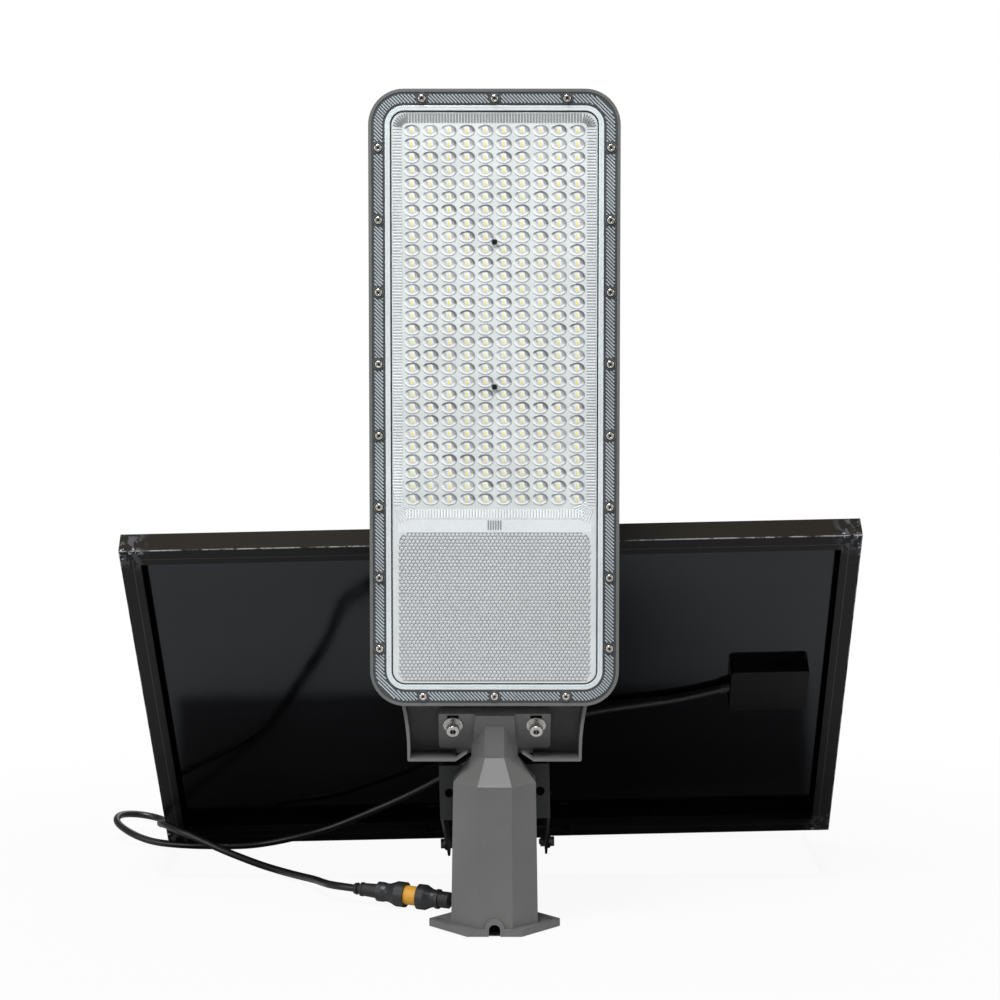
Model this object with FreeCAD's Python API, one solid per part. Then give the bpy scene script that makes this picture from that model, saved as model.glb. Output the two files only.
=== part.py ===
"""Solar street lamp on a cast pole arm, with its panel on a tilting bracket.

Millimetres. +Z is up, +X is to the right of somebody who faces the lens, and
the lens looks along -Y. The origin is the centre of the pole socket's mouth,
on the underside of the arm's flange.
"""
import FreeCAD, Part
import math
import os

os.makedirs("parts", exist_ok=True)

V = FreeCAD.Vector
AXIS_X = V(1, 0, 0)
AXIS_Y = V(0, 1, 0)
AXIS_Z = V(0, 0, 1)

# ------------------------------------------------------------ general fits
screw_slack = 0.05        # radial room round a screw in its thread or hole
washer_slack = 0.1        # radial room in a washer or sleeve
running_slack = 0.06      # radial room round a pivot
seat_gap = 0.2            # room round a piece that drops into a recess
sheet_wall = 2.5          # folded steel of the bracket

# ------------------------------------------------------------ mounting arm
pole_r = 31.0             # socket for a 60 mm pole
socket_depth = 125.0
flange_t = 7.0
flange_tip = 65.6         # centre to the tip of each ear
flange_front_half = 26.6
flange_depth_half = 46.0
flange_tip_r = 4.0
ear_hole_r = 3.5
ear_hole_x = 54.0
column_foot_w = 85.0      # across flats, at the flange
column_head_w = 80.5      # across flats, under the shoulder
shoulder_z = 145.0
neck_z = 169.0
neck_top_z = 205.0
neck_half_w = 22.7
neck_half_d = 14.0
neck_flat_half = 9.3
notch_w = 11.0            # cable notch at the foot of the front flat
notch_h = 11.7
notch_rim = 4.0
notch_proud = 3.5
pad_half_w = 22.0         # flat seat for the panel bracket, at the back
pad_y = 43.6
clamp_screw_r = 4.0
clamp_screw_len = 10.0
clamp_screw_zs = (32.0, 74.0)

# ------------------------------------------------------------ head plate
plate_lean = 30.0         # the plate's top leans towards the front
plate_foot_y = 3.4
plate_foot_z = 176.0
plate_w = 109.0
plate_h = 42.7
plate_t = 8.8
plate_corner_r = 4.0
plate_top_margin = 1.7    # metal left above each slot
slot_w = 11.4
slot_len = 23.0
block_proud = 3.1         # how far the centre block stands in front of the plate
block_top_half = 19.0
block_foot_half = 22.2
block_drop = 8.0          # how far the block runs below the plate's foot

# ------------------------------------------------------------ lamp bolts (M8)
bolt_r = 4.0
bolt_x = 40.5
bolt_up = 29.5            # along the plate, from its foot
bolt_head_r = 6.5
bolt_head_h = 8.0
bolt_socket_r = 3.3
bolt_socket_depth = 4.5
bolt_len = 27.0
spring_washer_r = 7.0
spring_washer_t = 2.0
flat_washer_r = 9.4
flat_washer_t = 1.6

# ------------------------------------------------------------ lamp head
head_w = 240.0
head_h = 591.0
head_foot_z = 222.8
head_top_z = head_foot_z + head_h
head_corner_r = 34.0
face_y = -30.0            # front edge of the rim
back_y = 32.0
shell_t = 3.0
back_edge_r = 9.0
band_w = 12.4             # width of the screwed frame
ledge_depth = 12.0        # depth of the flange that the frame is screwed to
ledge_lip = 3.8           # the flange runs this far under the cover's edge
frame_sink = 0.5          # frame's face behind the rim's edge
frame_t = 4.5
boss_r = 5.0
boss_proud = 0.4
frame_screw_r = 2.0
frame_screw_head_r = 3.6
frame_screw_head_h = 1.7
frame_hex_r = 1.5
frame_hex_depth = 1.1
frame_screw_len = 13.0
frame_screw_top_x = 69.0
frame_screw_rows = 8
frame_screw_end = 55.75    # from the head's end to the first side screw
frame_screw_pitch = (head_h - 2 * frame_screw_end) / (frame_screw_rows - 1)
fin_count = 9
fin_pitch = 20.0
fin_t = 3.0
fin_h = 7.0
fin_len = 400.0
fin_top_gap = 13.8
fin_z = head_top_z - fin_top_gap - fin_len / 2

# ------------------------------------------------------------ tray below the head
tray_top_half = 91.0
tray_waist_half = 85.8
tray_foot_half = 84.8
tray_drop = 56.0
tray_foot_z = head_foot_z - tray_drop
tray_front_y = -20.0
tray_t = 2.7
tray_corner_r = 2.0
tray_notch_half = 38.0
tray_notch_rise = 8.0     # how far the notch's turned edges rise
tray_notch_in = 11.6      # and how far they lean in
tray_edge_back_y = -3.0   # the turned edges stop in front of the head plate
seat_half_w = 52.0        # leaning seat for the head plate
seat_low = 9.0
seat_high = 42.0

# ------------------------------------------------------------ lens cover and optics
cover_rim_w = 5.0
cover_rim_y = -29.3
cover_face_y = -28.2
cover_t = 2.6
seal_w = 1.3
seal_t = 1.6
board_w = 190.0
board_y = -19.0
board_t = 1.6
board_top_gap = 23.8      # from the head's top to the board
board_gap = 10.0          # between the LED board and the plate below it
cover_plate_w = 190.0
cover_plate_h = 151.0
cover_plate_rise = 24.2
cover_plate_foot_z = head_foot_z + cover_plate_rise
cover_plate_head_z = cover_plate_foot_z + cover_plate_h
cover_plate_post_low = 11.0
cover_plate_post_high = 8.0
cover_plate_post_zs = (cover_plate_foot_z + cover_plate_post_low,
                       cover_plate_head_z - cover_plate_post_high)
board_foot_z = cover_plate_head_z + board_gap
board_head_z = head_top_z - board_top_gap
led_z = (board_foot_z + board_head_z) / 2
led_cols = 10
led_pitch_x = 17.5
led_pitch_z = 12.54
led_edge = 15.0           # least room from a LED's middle to the board's end
led_rows = 1 + int((board_head_z - board_foot_z - 2 * led_edge) / led_pitch_z)
led_w = 2.6
led_h = 5.6
led_t = 0.9
post_r = 5.0
post_x = 84.0
post_inset = 12.0
post_zs = (board_foot_z + post_inset, led_z, board_head_z - post_inset)
lens_screw_low = 68.2     # below the middle of the LED field
lens_screw_high = 70.0    # above it
lens_screw_zs = (led_z - lens_screw_low, led_z + lens_screw_high)
lens_hex_r = 1.3
lens_hex_depth = 1.0
spacer_r = 3.2
lens_screw_head_r = 2.7
lens_screw_head_h = 1.8
lens_screw_r = 1.5
board_screw_r = 1.5
board_screw_head_r = 2.8
board_screw_head_h = 1.6
board_screw_len = 9.0
sensor_w = 12.0
sensor_h = 9.0
sensor_t = 4.0
sensor_dome_r = 2.4

# ------------------------------------------------------------ battery and controller
cell_r = 16.0
cell_len = 70.0
cell_rows = 4
cell_pitch = 33.0
cell_gap = 3.0
cell_rise = 25.0
cell_foot_z = cover_plate_foot_z + cell_rise
cell_stud_r = 3.0
cell_stud_h = 1.2
cell_edge = 4.0           # tray beyond the outer cells
cell_lip_t = 2.0
tray_plate_t = 2.0
cell_lip_h = 12.0
strap_t = 1.2
strap_w = 12.0
strap_x = 37.0
ctrl_w = 120.0
ctrl_h = 66.0
ctrl_rise = 62.0
ctrl_z = board_foot_z + ctrl_rise
ctrl_t = 1.6
ctrl_post_h = 9.0
ctrl_post_r = 3.5
ctrl_hole_inset = 6.0
ctrl_screw_r = 1.4
ctrl_screw_head_r = 2.7
ctrl_screw_head_h = 1.5
ctrl_screw_len = 7.0
choke_x = -8.0            # parts on the controller: place, width, height, depth
choke_w = 24.0
choke_h = 24.0
choke_t = 11.0
terminal_strip_x = 42.0
terminal_strip_w = 16.0
terminal_strip_h = 28.0
terminal_strip_t = 9.0
chip_x = 18.0
chip_drop = 16.0
chip_w = 12.0
chip_t = 2.0
capacitor_x = 16.0
capacitor_rise = 10.0
capacitor_r = 4.0
capacitor_h = 12.0
capacitor_pitch = 10.0

# ------------------------------------------------------------ gland and vent on the back
gland_x = 0.0
gland_rise = 17.2
gland_z = head_foot_z + gland_rise
gland_hex_r = 9.0
gland_hex_h = 5.0
gland_neck_r = 6.0
gland_nut_h = 4.0
gland_cone_len = 17.0
gland_cone_r = 5.2
vent_x = -95.0
vent_rise = 37.2
vent_z = head_foot_z + vent_rise
vent_r = 7.0
vent_h = 3.0
vent_stem_r = 4.0

# ------------------------------------------------------------ panel bracket
bracket_roll = 1.26       # the whole panel group leans: right side higher
bracket_half_w = 55.0
web_low = 97.0
web_high = 152.0
bracket_hole_x = 45.4
bracket_hole_z = 124.4
bracket_hole_r = 4.5
bracket_bolt_rise = 14.0
bracket_bolt_len = 13.0
bracket_bolt_r = 4.0
bracket_head_r = 6.5
bracket_head_h = 5.0
bracket_washer_r = 8.0
bracket_washer_t = 1.2
arm_foot_back = 26.0      # flat foot in front of the pivot
arm_shoulder_y = 66.0

# ------------------------------------------------------------ panel
panel_w = 742.0
panel_h = 470.0
panel_t = 24.0
panel_tilt = 40.0         # from upright, top towards the lamp
panel_foot_x = 1.3
panel_top_gap = 19.09     # from the fins to the panel's top edge
panel_foot_y = (back_y + fin_h + panel_top_gap
                + panel_h * math.sin(math.radians(panel_tilt)))
panel_foot_z = 12.2
rail_t = 1.4
rear_lip = 20.0
front_lip = 7.0
chamber_w = 9.0
laminate_t = 4.6
glass_t = 3.2
backsheet_t = 0.7
laminate_slack = 0.2
laminate_side_gap = 0.3
rail_slot_x = 75.0
rail_slot_len = 11.0
rail_slot_w = 6.0
rail_slot_edge = 3.0      # from the lip's inner edge to the slot
key_leg = 38.0
key_slack = 0.05
sealant_w = 3.0

# ------------------------------------------------------------ hinge on the bottom rail
hinge_t = 3.0
hinge_slack = 0.4         # between an ear and the bracket's arm
pivot_up = 9.0            # along the panel, from its bottom edge
pivot_out = 14.5          # behind the panel's rear face
ear_r = 7.5
pivot_r = 3.0
pivot_head_r = 5.6
pivot_head_h = 4.0
pivot_nut_r = 5.7
pivot_nut_h = 4.8
pivot_washer_r = 6.2
pivot_washer_t = 1.0
rail_bolt_x = 34.0
rail_bolt_r = 2.0
rail_bolt_head_r = 3.8
rail_bolt_head_h = 2.6
rail_hex_r = 2.0
rail_hex_depth = 1.5
rail_nut_r = 4.0
rail_nut_h = 3.2

# ------------------------------------------------------------ junction box
jbox_side = 80.0          # from the panel's side to the box's middle
jbox_below = 0.5          # its middle lies this far below the panel's
jbox_x = panel_w / 2 - jbox_side
jbox_up = panel_h / 2 - jbox_below
jbox_w = 83.0
jbox_h = 61.0
jbox_t = 15.0
jbox_wall = 2.0
jbox_lid_t = 2.4
jbox_r = 5.0
jbox_gland_len = 9.0
jbox_gland_r = 6.0
terminal_w = 14.0
terminal_h = 20.0
terminal_t = 7.0
terminal_pitch = 20.0

# ------------------------------------------------------------ cables
cable_r = 3.9
plug_start_at = (-142.9, 97.6, 14.6)
socket_end_at = (-43.5, 58.8, 10.8)
plug_start = V(*plug_start_at)
socket_end = V(*socket_end_at)

# along the panel from the junction box, then over its bottom rail:
# across, up, behind its rear face
lead_below = 5.5          # from the box's middle
lead_depth = -12.4
lead_run = V(37.5, 13.0, -0.4)
lead_start = V(jbox_x - jbox_w / 2 - jbox_gland_len, jbox_up - lead_below, lead_depth)
panel_lead_across = [
    tuple(lead_start), tuple(lead_start - lead_run), (160.0, 209.0, -11.0),
    (112.0, 202.5, -9.5), (62.0, 189.0, -7.5), (12.0, 162.0, -5.5),
    (-34.0, 126.0, -3.5), (-70.0, 97.0, -1.5), (-110.0, 71.0, 1.0),
    (-152.0, 48.0, 3.5), (-190.0, 28.0, 5.5)]

# the lead's last stretch, from the rail to the ground
panel_lead_drop = [(-229.0, 341.0, 14.5), (-256.0, 347.0, 8.0), (-282.0, 350.0, 4.3),
                   (-304.0, 350.0, 4.3)]

plug_cable_points = [
    (-304.0, 350.0, 4.3), (-328.0, 350.0, 4.3), (-360.0, 357.0, 4.4),
    (-388.0, 367.0, 5.6), (-413.4, 379.7, 12.5), (-433.5, 402.0, 21.0),
    (-432.4, 425.6, 25.0), (-415.0, 441.6, 22.5), (-391.4, 440.8, 18.5),
    (-376.6, 422.8, 17.0), (-376.6, 392.0, 20.0), (-376.6, 360.0, 27.5),
    (-371.5, 326.0, 35.5), (-350.9, 306.0, 32.0), (-326.6, 296.0, 24.0),
    (-301.2, 284.0, 15.0), (-274.5, 268.0, 8.3), (-252.3, 249.0, 4.8),
    (-230.2, 220.9, 5.0), (-209.1, 191.4, 6.6), (-188.1, 159.0, 9.6),
    (-178.0, 133.0, 12.4)]
plug_run_in = 26.0
boot_run_out = 22.0

lamp_cable_points = [
    (gland_x, back_y + gland_nut_h + gland_cone_len, gland_z),
    (0.0, 76.0, gland_z), (-2.0, 98.0, 221.0), (-5.0, 107.0, 190.0),
    (-8.0, 109.0, 153.0), (-12.0, 112.0, 116.0), (-17.0, 117.0, 80.0),
    (-17.0, 127.0, 46.0), (0.0, 136.0, 18.0), (28.0, 127.0, 5.5),
    (38.0, 99.0, 4.3), (26.0, 72.0, 4.8), (2.0, 55.0, 7.6)]


# ------------------------------------------------------------ shape helpers
def box(x0, x1, y0, y1, z0, z1):
    return Part.makeBox(x1 - x0, y1 - y0, z1 - z0, V(x0, y0, z0))


def rod(r, length, at, along):
    return Part.makeCylinder(r, length, at, along)


def hex_rod(r, length, at, along):
    """Six-sided bar with corner radius r."""
    corners = [V(r * math.cos(math.radians(60 * i)), r * math.sin(math.radians(60 * i)), 0)
               for i in range(7)]
    bar = Part.Face(Part.makePolygon(corners)).extrude(V(0, 0, length))
    bar.Placement = FreeCAD.Placement(at, FreeCAD.Rotation(AXIS_Z, along))
    return bar


def edges_along(shape, axis):
    """Straight edges parallel to an axis."""
    found = []
    for edge in shape.Edges:
        ends = [v.Point for v in edge.Vertexes]
        if len(ends) == 2 and (ends[1] - ends[0]).normalize().cross(axis).Length < 1e-6:
            found.append(edge)
    return found


def rounded_block(w, h, r, y0, y1, cz, cx=0.0):
    """Block with its four corners rounded in the XZ plane."""
    block = box(cx - w / 2, cx + w / 2, y0, y1, cz - h / 2, cz + h / 2)
    return block.makeFillet(r, edges_along(block, AXIS_Y))


def prism(points, push):
    wire = Part.makePolygon([V(*p) for p in points] + [V(*points[0])])
    return Part.Face(wire).extrude(push)


def octagon(half_w, half_d, flat_w, flat_d, z):
    """Closed eight-sided wire: flat_w and flat_d are half the front and side flats."""
    pts = [(flat_w, -half_d), (half_w, -flat_d), (half_w, flat_d), (flat_w, half_d),
           (-flat_w, half_d), (-half_w, flat_d), (-half_w, -flat_d), (-flat_w, -half_d)]
    return Part.makePolygon([V(x, y, z) for x, y in pts] + [V(pts[0][0], pts[0][1], z)])


def regular_octagon(width, z):
    half = width / 2
    flat = half * math.tan(math.radians(22.5))
    return octagon(half, half, flat, flat, z)


def fuse(shapes):
    return shapes[0].multiFuse(shapes[1:]).removeSplitter()


def head_frame(shape):
    """From the plate's own frame (face at y=0, foot at z=0) to the lamp's."""
    moved = shape.copy()
    turn = FreeCAD.Placement(V(0, plate_foot_y, plate_foot_z),
                             FreeCAD.Rotation(AXIS_X, plate_lean))
    moved.Placement = turn.multiply(moved.Placement)
    return moved


def rolled(shape):
    """Bracket and panel lean together about the bracket's centre."""
    moved = shape.copy()
    moved.rotate(V(0, 0, bracket_hole_z), AXIS_Y, -bracket_roll)
    return moved


def roll_point(p):
    turn = FreeCAD.Rotation(AXIS_Y, -bracket_roll)
    centre = V(0, 0, bracket_hole_z)
    return centre + turn.multVec(p - centre)


def panel_placement():
    return FreeCAD.Placement(V(panel_foot_x, panel_foot_y, panel_foot_z),
                             FreeCAD.Rotation(AXIS_X, 90 + panel_tilt))


def on_panel(shape):
    """From the panel's frame (x across, y up it, z behind it) to the lamp's."""
    moved = shape.copy()
    moved.Placement = panel_placement().multiply(moved.Placement)
    return rolled(moved)


def panel_point(p):
    return roll_point(panel_placement().multVec(V(*p)))


def group(shapes):
    return Part.makeCompound(shapes)


def save(name, shape):
    shape.exportStep("parts/" + name + ".step")
    print(name, len(shape.Solids), "solid(s)", round(shape.Volume / 1000, 2), "cm3",
          "" if shape.isValid() else "NOT VALID")


# ------------------------------------------------------------ mounting arm
def mounting_arm():
    column = Part.makeLoft([regular_octagon(column_foot_w, 0),
                            regular_octagon(column_head_w, shoulder_z)], True, True)
    head_half = column_head_w / 2
    head_flat = head_half * math.tan(math.radians(22.5))
    side_flat = neck_half_d - (neck_half_w - neck_flat_half) * 0.97
    shoulder = Part.makeLoft([octagon(head_half, head_half, head_flat, head_flat, shoulder_z),
                              octagon(neck_half_w, neck_half_d, neck_flat_half, side_flat,
                                      neck_z)], True, True)
    neck_face = Part.Face(octagon(neck_half_w, neck_half_d, neck_flat_half, side_flat, neck_z))
    neck = neck_face.extrude(V(0, 0, neck_top_z - neck_z))
    reach = 2 * column_foot_w
    behind_plate = head_frame(box(-reach, reach, plate_t, plate_t + reach, 0, reach))
    above_block = head_frame(box(-reach, reach, -reach, reach, plate_h, plate_h + reach))
    neck = neck.cut(behind_plate).cut(above_block)

    plate = box(-plate_w / 2, plate_w / 2, 0, plate_t, 0, plate_h)
    foot_edges = [e for e in edges_along(plate, AXIS_Y) if e.BoundBox.ZMax < plate_h / 2]
    plate = plate.makeFillet(plate_corner_r, foot_edges)
    for side in (-1, 1):
        slot_top = plate_h - plate_top_margin
        plate = plate.cut(box(side * bolt_x - slot_w / 2, side * bolt_x + slot_w / 2,
                              -1, plate_t + 1, slot_top - slot_len, slot_top))
    block = prism([(-block_top_half, -block_proud, plate_h), (block_top_half, -block_proud, plate_h),
                   (block_foot_half, -block_proud, -block_drop),
                   (-block_foot_half, -block_proud, -block_drop)],
                  V(0, block_proud + plate_t / 2, 0))

    tip = math.hypot(flange_tip - flange_front_half, flange_depth_half)
    flange = prism([(-flange_tip, 0, 0), (-flange_front_half, -flange_depth_half, 0),
                    (flange_front_half, -flange_depth_half, 0), (flange_tip, 0, 0),
                    (flange_front_half, flange_depth_half, 0),
                    (-flange_front_half, flange_depth_half, 0)], V(0, 0, flange_t))
    tips = [e for e in edges_along(flange, AXIS_Z) if abs(e.BoundBox.XMax) > tip * 0.9]
    flange = flange.makeFillet(flange_tip_r, tips)

    arch_half = notch_w / 2 + notch_rim
    front = -column_foot_w / 2
    rim_top = notch_h + notch_rim + 1.3 - arch_half
    below = box(-arch_half, arch_half, front - notch_proud, front + 4, -arch_half, 0)
    rim = fuse([box(-arch_half, arch_half, front - notch_proud, front + 4, 0, rim_top),
                rod(arch_half, notch_proud + 4, V(0, front - notch_proud, rim_top), AXIS_Y)])
    rim = rim.cut(below)
    pad = box(-pad_half_w, pad_half_w, pole_r + 3, pad_y, web_low + 1, shoulder_z - 1)
    arm = fuse([column, shoulder, neck, head_frame(plate), head_frame(block), flange, rim, pad])
    arm = arm.cut(rod(pole_r, socket_depth + 1, V(0, 0, -1), AXIS_Z))
    slot = fuse([box(-notch_w / 2, notch_w / 2, front - notch_proud - 1, 0, -1,
                     notch_h - notch_w / 2),
                 rod(notch_w / 2, -(front - notch_proud - 1), V(0, 0, notch_h - notch_w / 2),
                     -AXIS_Y)])
    arm = arm.cut(slot)
    for side in (-1, 1):
        arm = arm.cut(rod(ear_hole_r, flange_t + 2, V(side * ear_hole_x, 0, -1), AXIS_Z))
    for z in clamp_screw_zs:
        arm = arm.cut(rod(clamp_screw_r + screw_slack, column_foot_w, V(0, 0, z), AXIS_Y))
    for centre in bracket_bolt_centres():
        arm = arm.cut(rod(bracket_bolt_r + screw_slack, bracket_bolt_len, centre, -AXIS_Y))
    return arm


def pole_clamp_screws():
    """Socket set screws, backed out until they are flush with the pole socket."""
    screws = []
    for z in clamp_screw_zs:
        screw = rod(clamp_screw_r, clamp_screw_len, V(0, pole_r + 0.6, z), AXIS_Y)
        socket = hex_rod(2.3, 4.5, V(0, pole_r + 0.6 + clamp_screw_len - 4, z), AXIS_Y)
        screws.append(screw.cut(socket))
    return group(screws)


def bracket_bolt_centres():
    return [roll_point(V(0, pad_y, bracket_hole_z + rise))
            for rise in (-bracket_bolt_rise, bracket_bolt_rise)]


# ------------------------------------------------------------ lamp bolts
def lamp_bolt_stack(at_x):
    """Bolt, spring washer and flat washer in the head plate's frame."""
    at = V(at_x, 0, bolt_up)
    flat = rod(flat_washer_r, flat_washer_t, at, -AXIS_Y)
    flat = flat.cut(rod(bolt_r + 0.3, flat_washer_t, at, -AXIS_Y))
    at_spring = at - AXIS_Y * flat_washer_t
    spring = rod(spring_washer_r, spring_washer_t, at_spring, -AXIS_Y)
    spring = spring.cut(rod(bolt_r + 0.2, spring_washer_t, at_spring, -AXIS_Y))
    spring = spring.cut(box(at_x - 0.6, at_x + 0.6, -10, 10, bolt_up, bolt_up + 2 * bolt_head_r))
    at_head = at_spring - AXIS_Y * spring_washer_t
    head = rod(bolt_head_r, bolt_head_h, at_head, -AXIS_Y)
    head = head.makeFillet(0.8, [e for e in head.Edges
                                 if e.BoundBox.YMax < at_head.y - bolt_head_h + 0.01])
    socket = hex_rod(bolt_socket_r, bolt_socket_depth + 1,
                     at_head - AXIS_Y * (bolt_head_h - bolt_socket_depth), -AXIS_Y)
    shank = rod(bolt_r, bolt_len, at_head, AXIS_Y)
    return fuse([head, shank]).cut(socket), spring, flat


# ------------------------------------------------------------ lamp head
head_z = head_foot_z + head_h / 2
inner_w = head_w - 2 * shell_t
inner_h = head_h - 2 * shell_t
inner_r = head_corner_r - shell_t
cover_w = inner_w - 2 * band_w
cover_h = inner_h - 2 * band_w
cover_r = inner_r - band_w
ledge_y = face_y + frame_sink + frame_t
floor_y = back_y - shell_t


def frame_screw_places():
    places = []
    x = inner_w / 2 - band_w / 2
    z_end = inner_h / 2 - band_w / 2
    for sx in (-1, 0, 1):
        for sz in (-1, 1):
            places.append((sx * frame_screw_top_x, head_z + sz * z_end))
    first = head_z - frame_screw_pitch * (frame_screw_rows - 1) / 2
    for row in range(frame_screw_rows):
        for sx in (-1, 1):
            places.append((sx * x, first + row * frame_screw_pitch))
    return places


def tray_block(inset, top_z, foot_z, y0, y1):
    """Block below the head whose sides sweep in from the head to the foot."""
    mid_z = (top_z + foot_z) / 2
    right = [V(half - inset, y0, z) for half, z in ((tray_top_half, top_z),
                                                    (tray_waist_half, mid_z),
                                                    (tray_foot_half, foot_z))]
    left = [V(-at.x, at.y, at.z) for at in reversed(right)]
    edges = [Part.Arc(*right).toShape(), Part.makeLine(right[2], left[0]),
             Part.Arc(*left).toShape(), Part.makeLine(left[2], right[0])]
    return Part.Face(Part.Wire(edges)).extrude(V(0, y1 - y0, 0))


def tray():
    outer = tray_block(0, head_foot_z + shell_t, tray_foot_z, tray_front_y, back_y)
    low = [e for e in edges_along(outer, AXIS_Y) if e.BoundBox.ZMax < tray_foot_z + 1]
    outer = outer.makeFillet(tray_corner_r, low)
    inside = tray_block(tray_t, head_foot_z + 2 * shell_t, tray_foot_z + tray_t,
                        tray_front_y - 1, floor_y)
    notch = box(-tray_notch_half, tray_notch_half, tray_front_y - 1, floor_y,
                tray_foot_z - 1, tray_foot_z + tray_t + 1)
    shell = outer.cut(inside).cut(notch)
    edges = []
    for side in (-1, 1):
        lean = side * (tray_notch_half - tray_notch_in)
        foot = side * tray_notch_half
        thick = side * tray_t * 1.3
        edges.append(prism([(foot, tray_front_y, tray_foot_z),
                            (foot + thick, tray_front_y, tray_foot_z),
                            (lean + thick, tray_front_y, tray_foot_z + tray_notch_rise),
                            (lean, tray_front_y, tray_foot_z + tray_notch_rise)],
                           V(0, tray_edge_back_y - tray_front_y, 0)))
    return fuse([shell] + edges)


def plate_seat():
    """Leaning block on the tray's floor that the arm's head plate is bolted to."""
    reach = 2 * (back_y - face_y)
    block = head_frame(box(-seat_half_w, seat_half_w, plate_t, reach, seat_low, seat_high))
    room = box(-seat_half_w, seat_half_w, face_y, back_y - 1, tray_foot_z, head_foot_z + 1)
    return block.common(room)


def lamp_housing():
    body = rounded_block(head_w, head_h, head_corner_r, face_y, back_y, head_z)
    body = body.makeFillet(back_edge_r, [e for e in body.Edges if e.BoundBox.YMin > back_y - 0.01])
    recess = rounded_block(inner_w, inner_h, inner_r, face_y - 1, ledge_y, head_z)
    well = rounded_block(cover_w - 2 * ledge_lip, cover_h - 2 * ledge_lip, cover_r - ledge_lip,
                         face_y - 1, floor_y, head_z)
    cavity = rounded_block(inner_w, inner_h, inner_r, ledge_y + ledge_depth, floor_y, head_z)
    cavity = cavity.makeFillet(back_edge_r - shell_t,
                               [e for e in cavity.Edges if e.BoundBox.YMin > floor_y - 0.01])
    body = body.cut(recess).cut(well).cut(cavity)
    pieces = [body, tray(), plate_seat()]
    for i in range(fin_count):
        x = (i - (fin_count - 1) / 2) * fin_pitch
        pieces.append(box(x - fin_t / 2, x + fin_t / 2, back_y - 1, back_y + fin_h,
                          fin_z - fin_len / 2, fin_z + fin_len / 2))
    for z in post_zs:
        for side in (-1, 1):
            pieces.append(rod(post_r, floor_y + 1 - (board_y + board_t),
                              V(side * post_x, board_y + board_t, z), AXIS_Y))
    for z in lens_screw_zs:
        pieces.append(rod(post_r, floor_y + 1 - (board_y + board_t),
                          V(0, board_y + board_t, z), AXIS_Y))
    for z in cover_plate_post_zs:
        for side in (-1, 1):
            pieces.append(rod(post_r, floor_y + 1 - (board_y + board_t),
                              V(side * post_x, board_y + board_t, z), AXIS_Y))
    for x, z in ctrl_hole_places():
        pieces.append(rod(ctrl_post_r, ctrl_post_h + 1, V(x, floor_y - ctrl_post_h, z), AXIS_Y))
    body = fuse(pieces)
    tools = []
    for x, z in frame_screw_places():
        tools.append(rod(frame_screw_r + screw_slack, frame_screw_len, V(x, face_y, z), AXIS_Y))
    for z in post_zs + cover_plate_post_zs:
        for side in (-1, 1):
            tools.append(rod(board_screw_r + screw_slack, board_screw_len,
                             V(side * post_x, board_y, z), AXIS_Y))
    for z in lens_screw_zs:
        tools.append(rod(lens_screw_r + screw_slack, board_screw_len, V(0, board_y, z), AXIS_Y))
    for x, z in ctrl_hole_places():
        tools.append(rod(ctrl_screw_r + screw_slack, ctrl_screw_len + 1,
                         V(x, floor_y - ctrl_post_h - ctrl_t, z), AXIS_Y))
    for side in (-1, 1):
        hole = rod(bolt_r + screw_slack, bolt_len, V(side * bolt_x, 0, bolt_up), AXIS_Y)
        tools.append(head_frame(hole))
    tools.append(rod(gland_neck_r + screw_slack, 3 * shell_t, V(gland_x, floor_y - shell_t, gland_z),
                     AXIS_Y))
    tools.append(rod(vent_stem_r + screw_slack, 3 * shell_t, V(vent_x, floor_y - shell_t, vent_z),
                     AXIS_Y))
    return body.cut(group(tools))


def front_frame():
    y0 = face_y + frame_sink
    ring = rounded_block(inner_w - 2 * seat_gap, inner_h - 2 * seat_gap, inner_r - seat_gap,
                         y0, ledge_y, head_z)
    hole = rounded_block(cover_w, cover_h, cover_r, y0 - 1, ledge_y + 1, head_z)
    ring = ring.cut(hole)
    bosses = [rod(boss_r, frame_t + boss_proud, V(x, y0 - boss_proud, z), AXIS_Y)
              for x, z in frame_screw_places()]
    ring = fuse([ring] + bosses)
    holes = [rod(frame_screw_r + screw_slack, frame_t + 2, V(x, y0 - 1, z), AXIS_Y)
             for x, z in frame_screw_places()]
    return ring.cut(group(holes))


def frame_screws():
    screws = []
    y0 = face_y + frame_sink - boss_proud
    for x, z in frame_screw_places():
        head = rod(frame_screw_head_r, frame_screw_head_h, V(x, y0, z), -AXIS_Y)
        shank = rod(frame_screw_r, frame_screw_len - 2, V(x, y0, z), AXIS_Y)
        socket = hex_rod(frame_hex_r, frame_screw_head_h,
                         V(x, y0 - frame_screw_head_h + frame_hex_depth, z), -AXIS_Y)
        screws.append(fuse([head, shank]).cut(socket))
    return group(screws)


def lens_cover():
    w = cover_w - 2 * seat_gap
    h = cover_h - 2 * seat_gap
    r = cover_r - seat_gap
    rim = rounded_block(w, h, r, cover_rim_y, ledge_y, head_z)
    rim = rim.cut(rounded_block(w - 2 * cover_rim_w, h - 2 * cover_rim_w, r - cover_rim_w,
                                cover_rim_y - 1, ledge_y + 1, head_z))
    plate = rounded_block(w - cover_rim_w, h - cover_rim_w, r - cover_rim_w / 2,
                          cover_face_y, cover_face_y + cover_t, head_z)
    cover = fuse([rim, plate]).cut(seal_ring(0.02))
    for z in lens_screw_zs:
        cover = cover.cut(rod(lens_screw_r + screw_slack, 10, V(0, cover_face_y - 1, z), AXIS_Y))
    return cover


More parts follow.
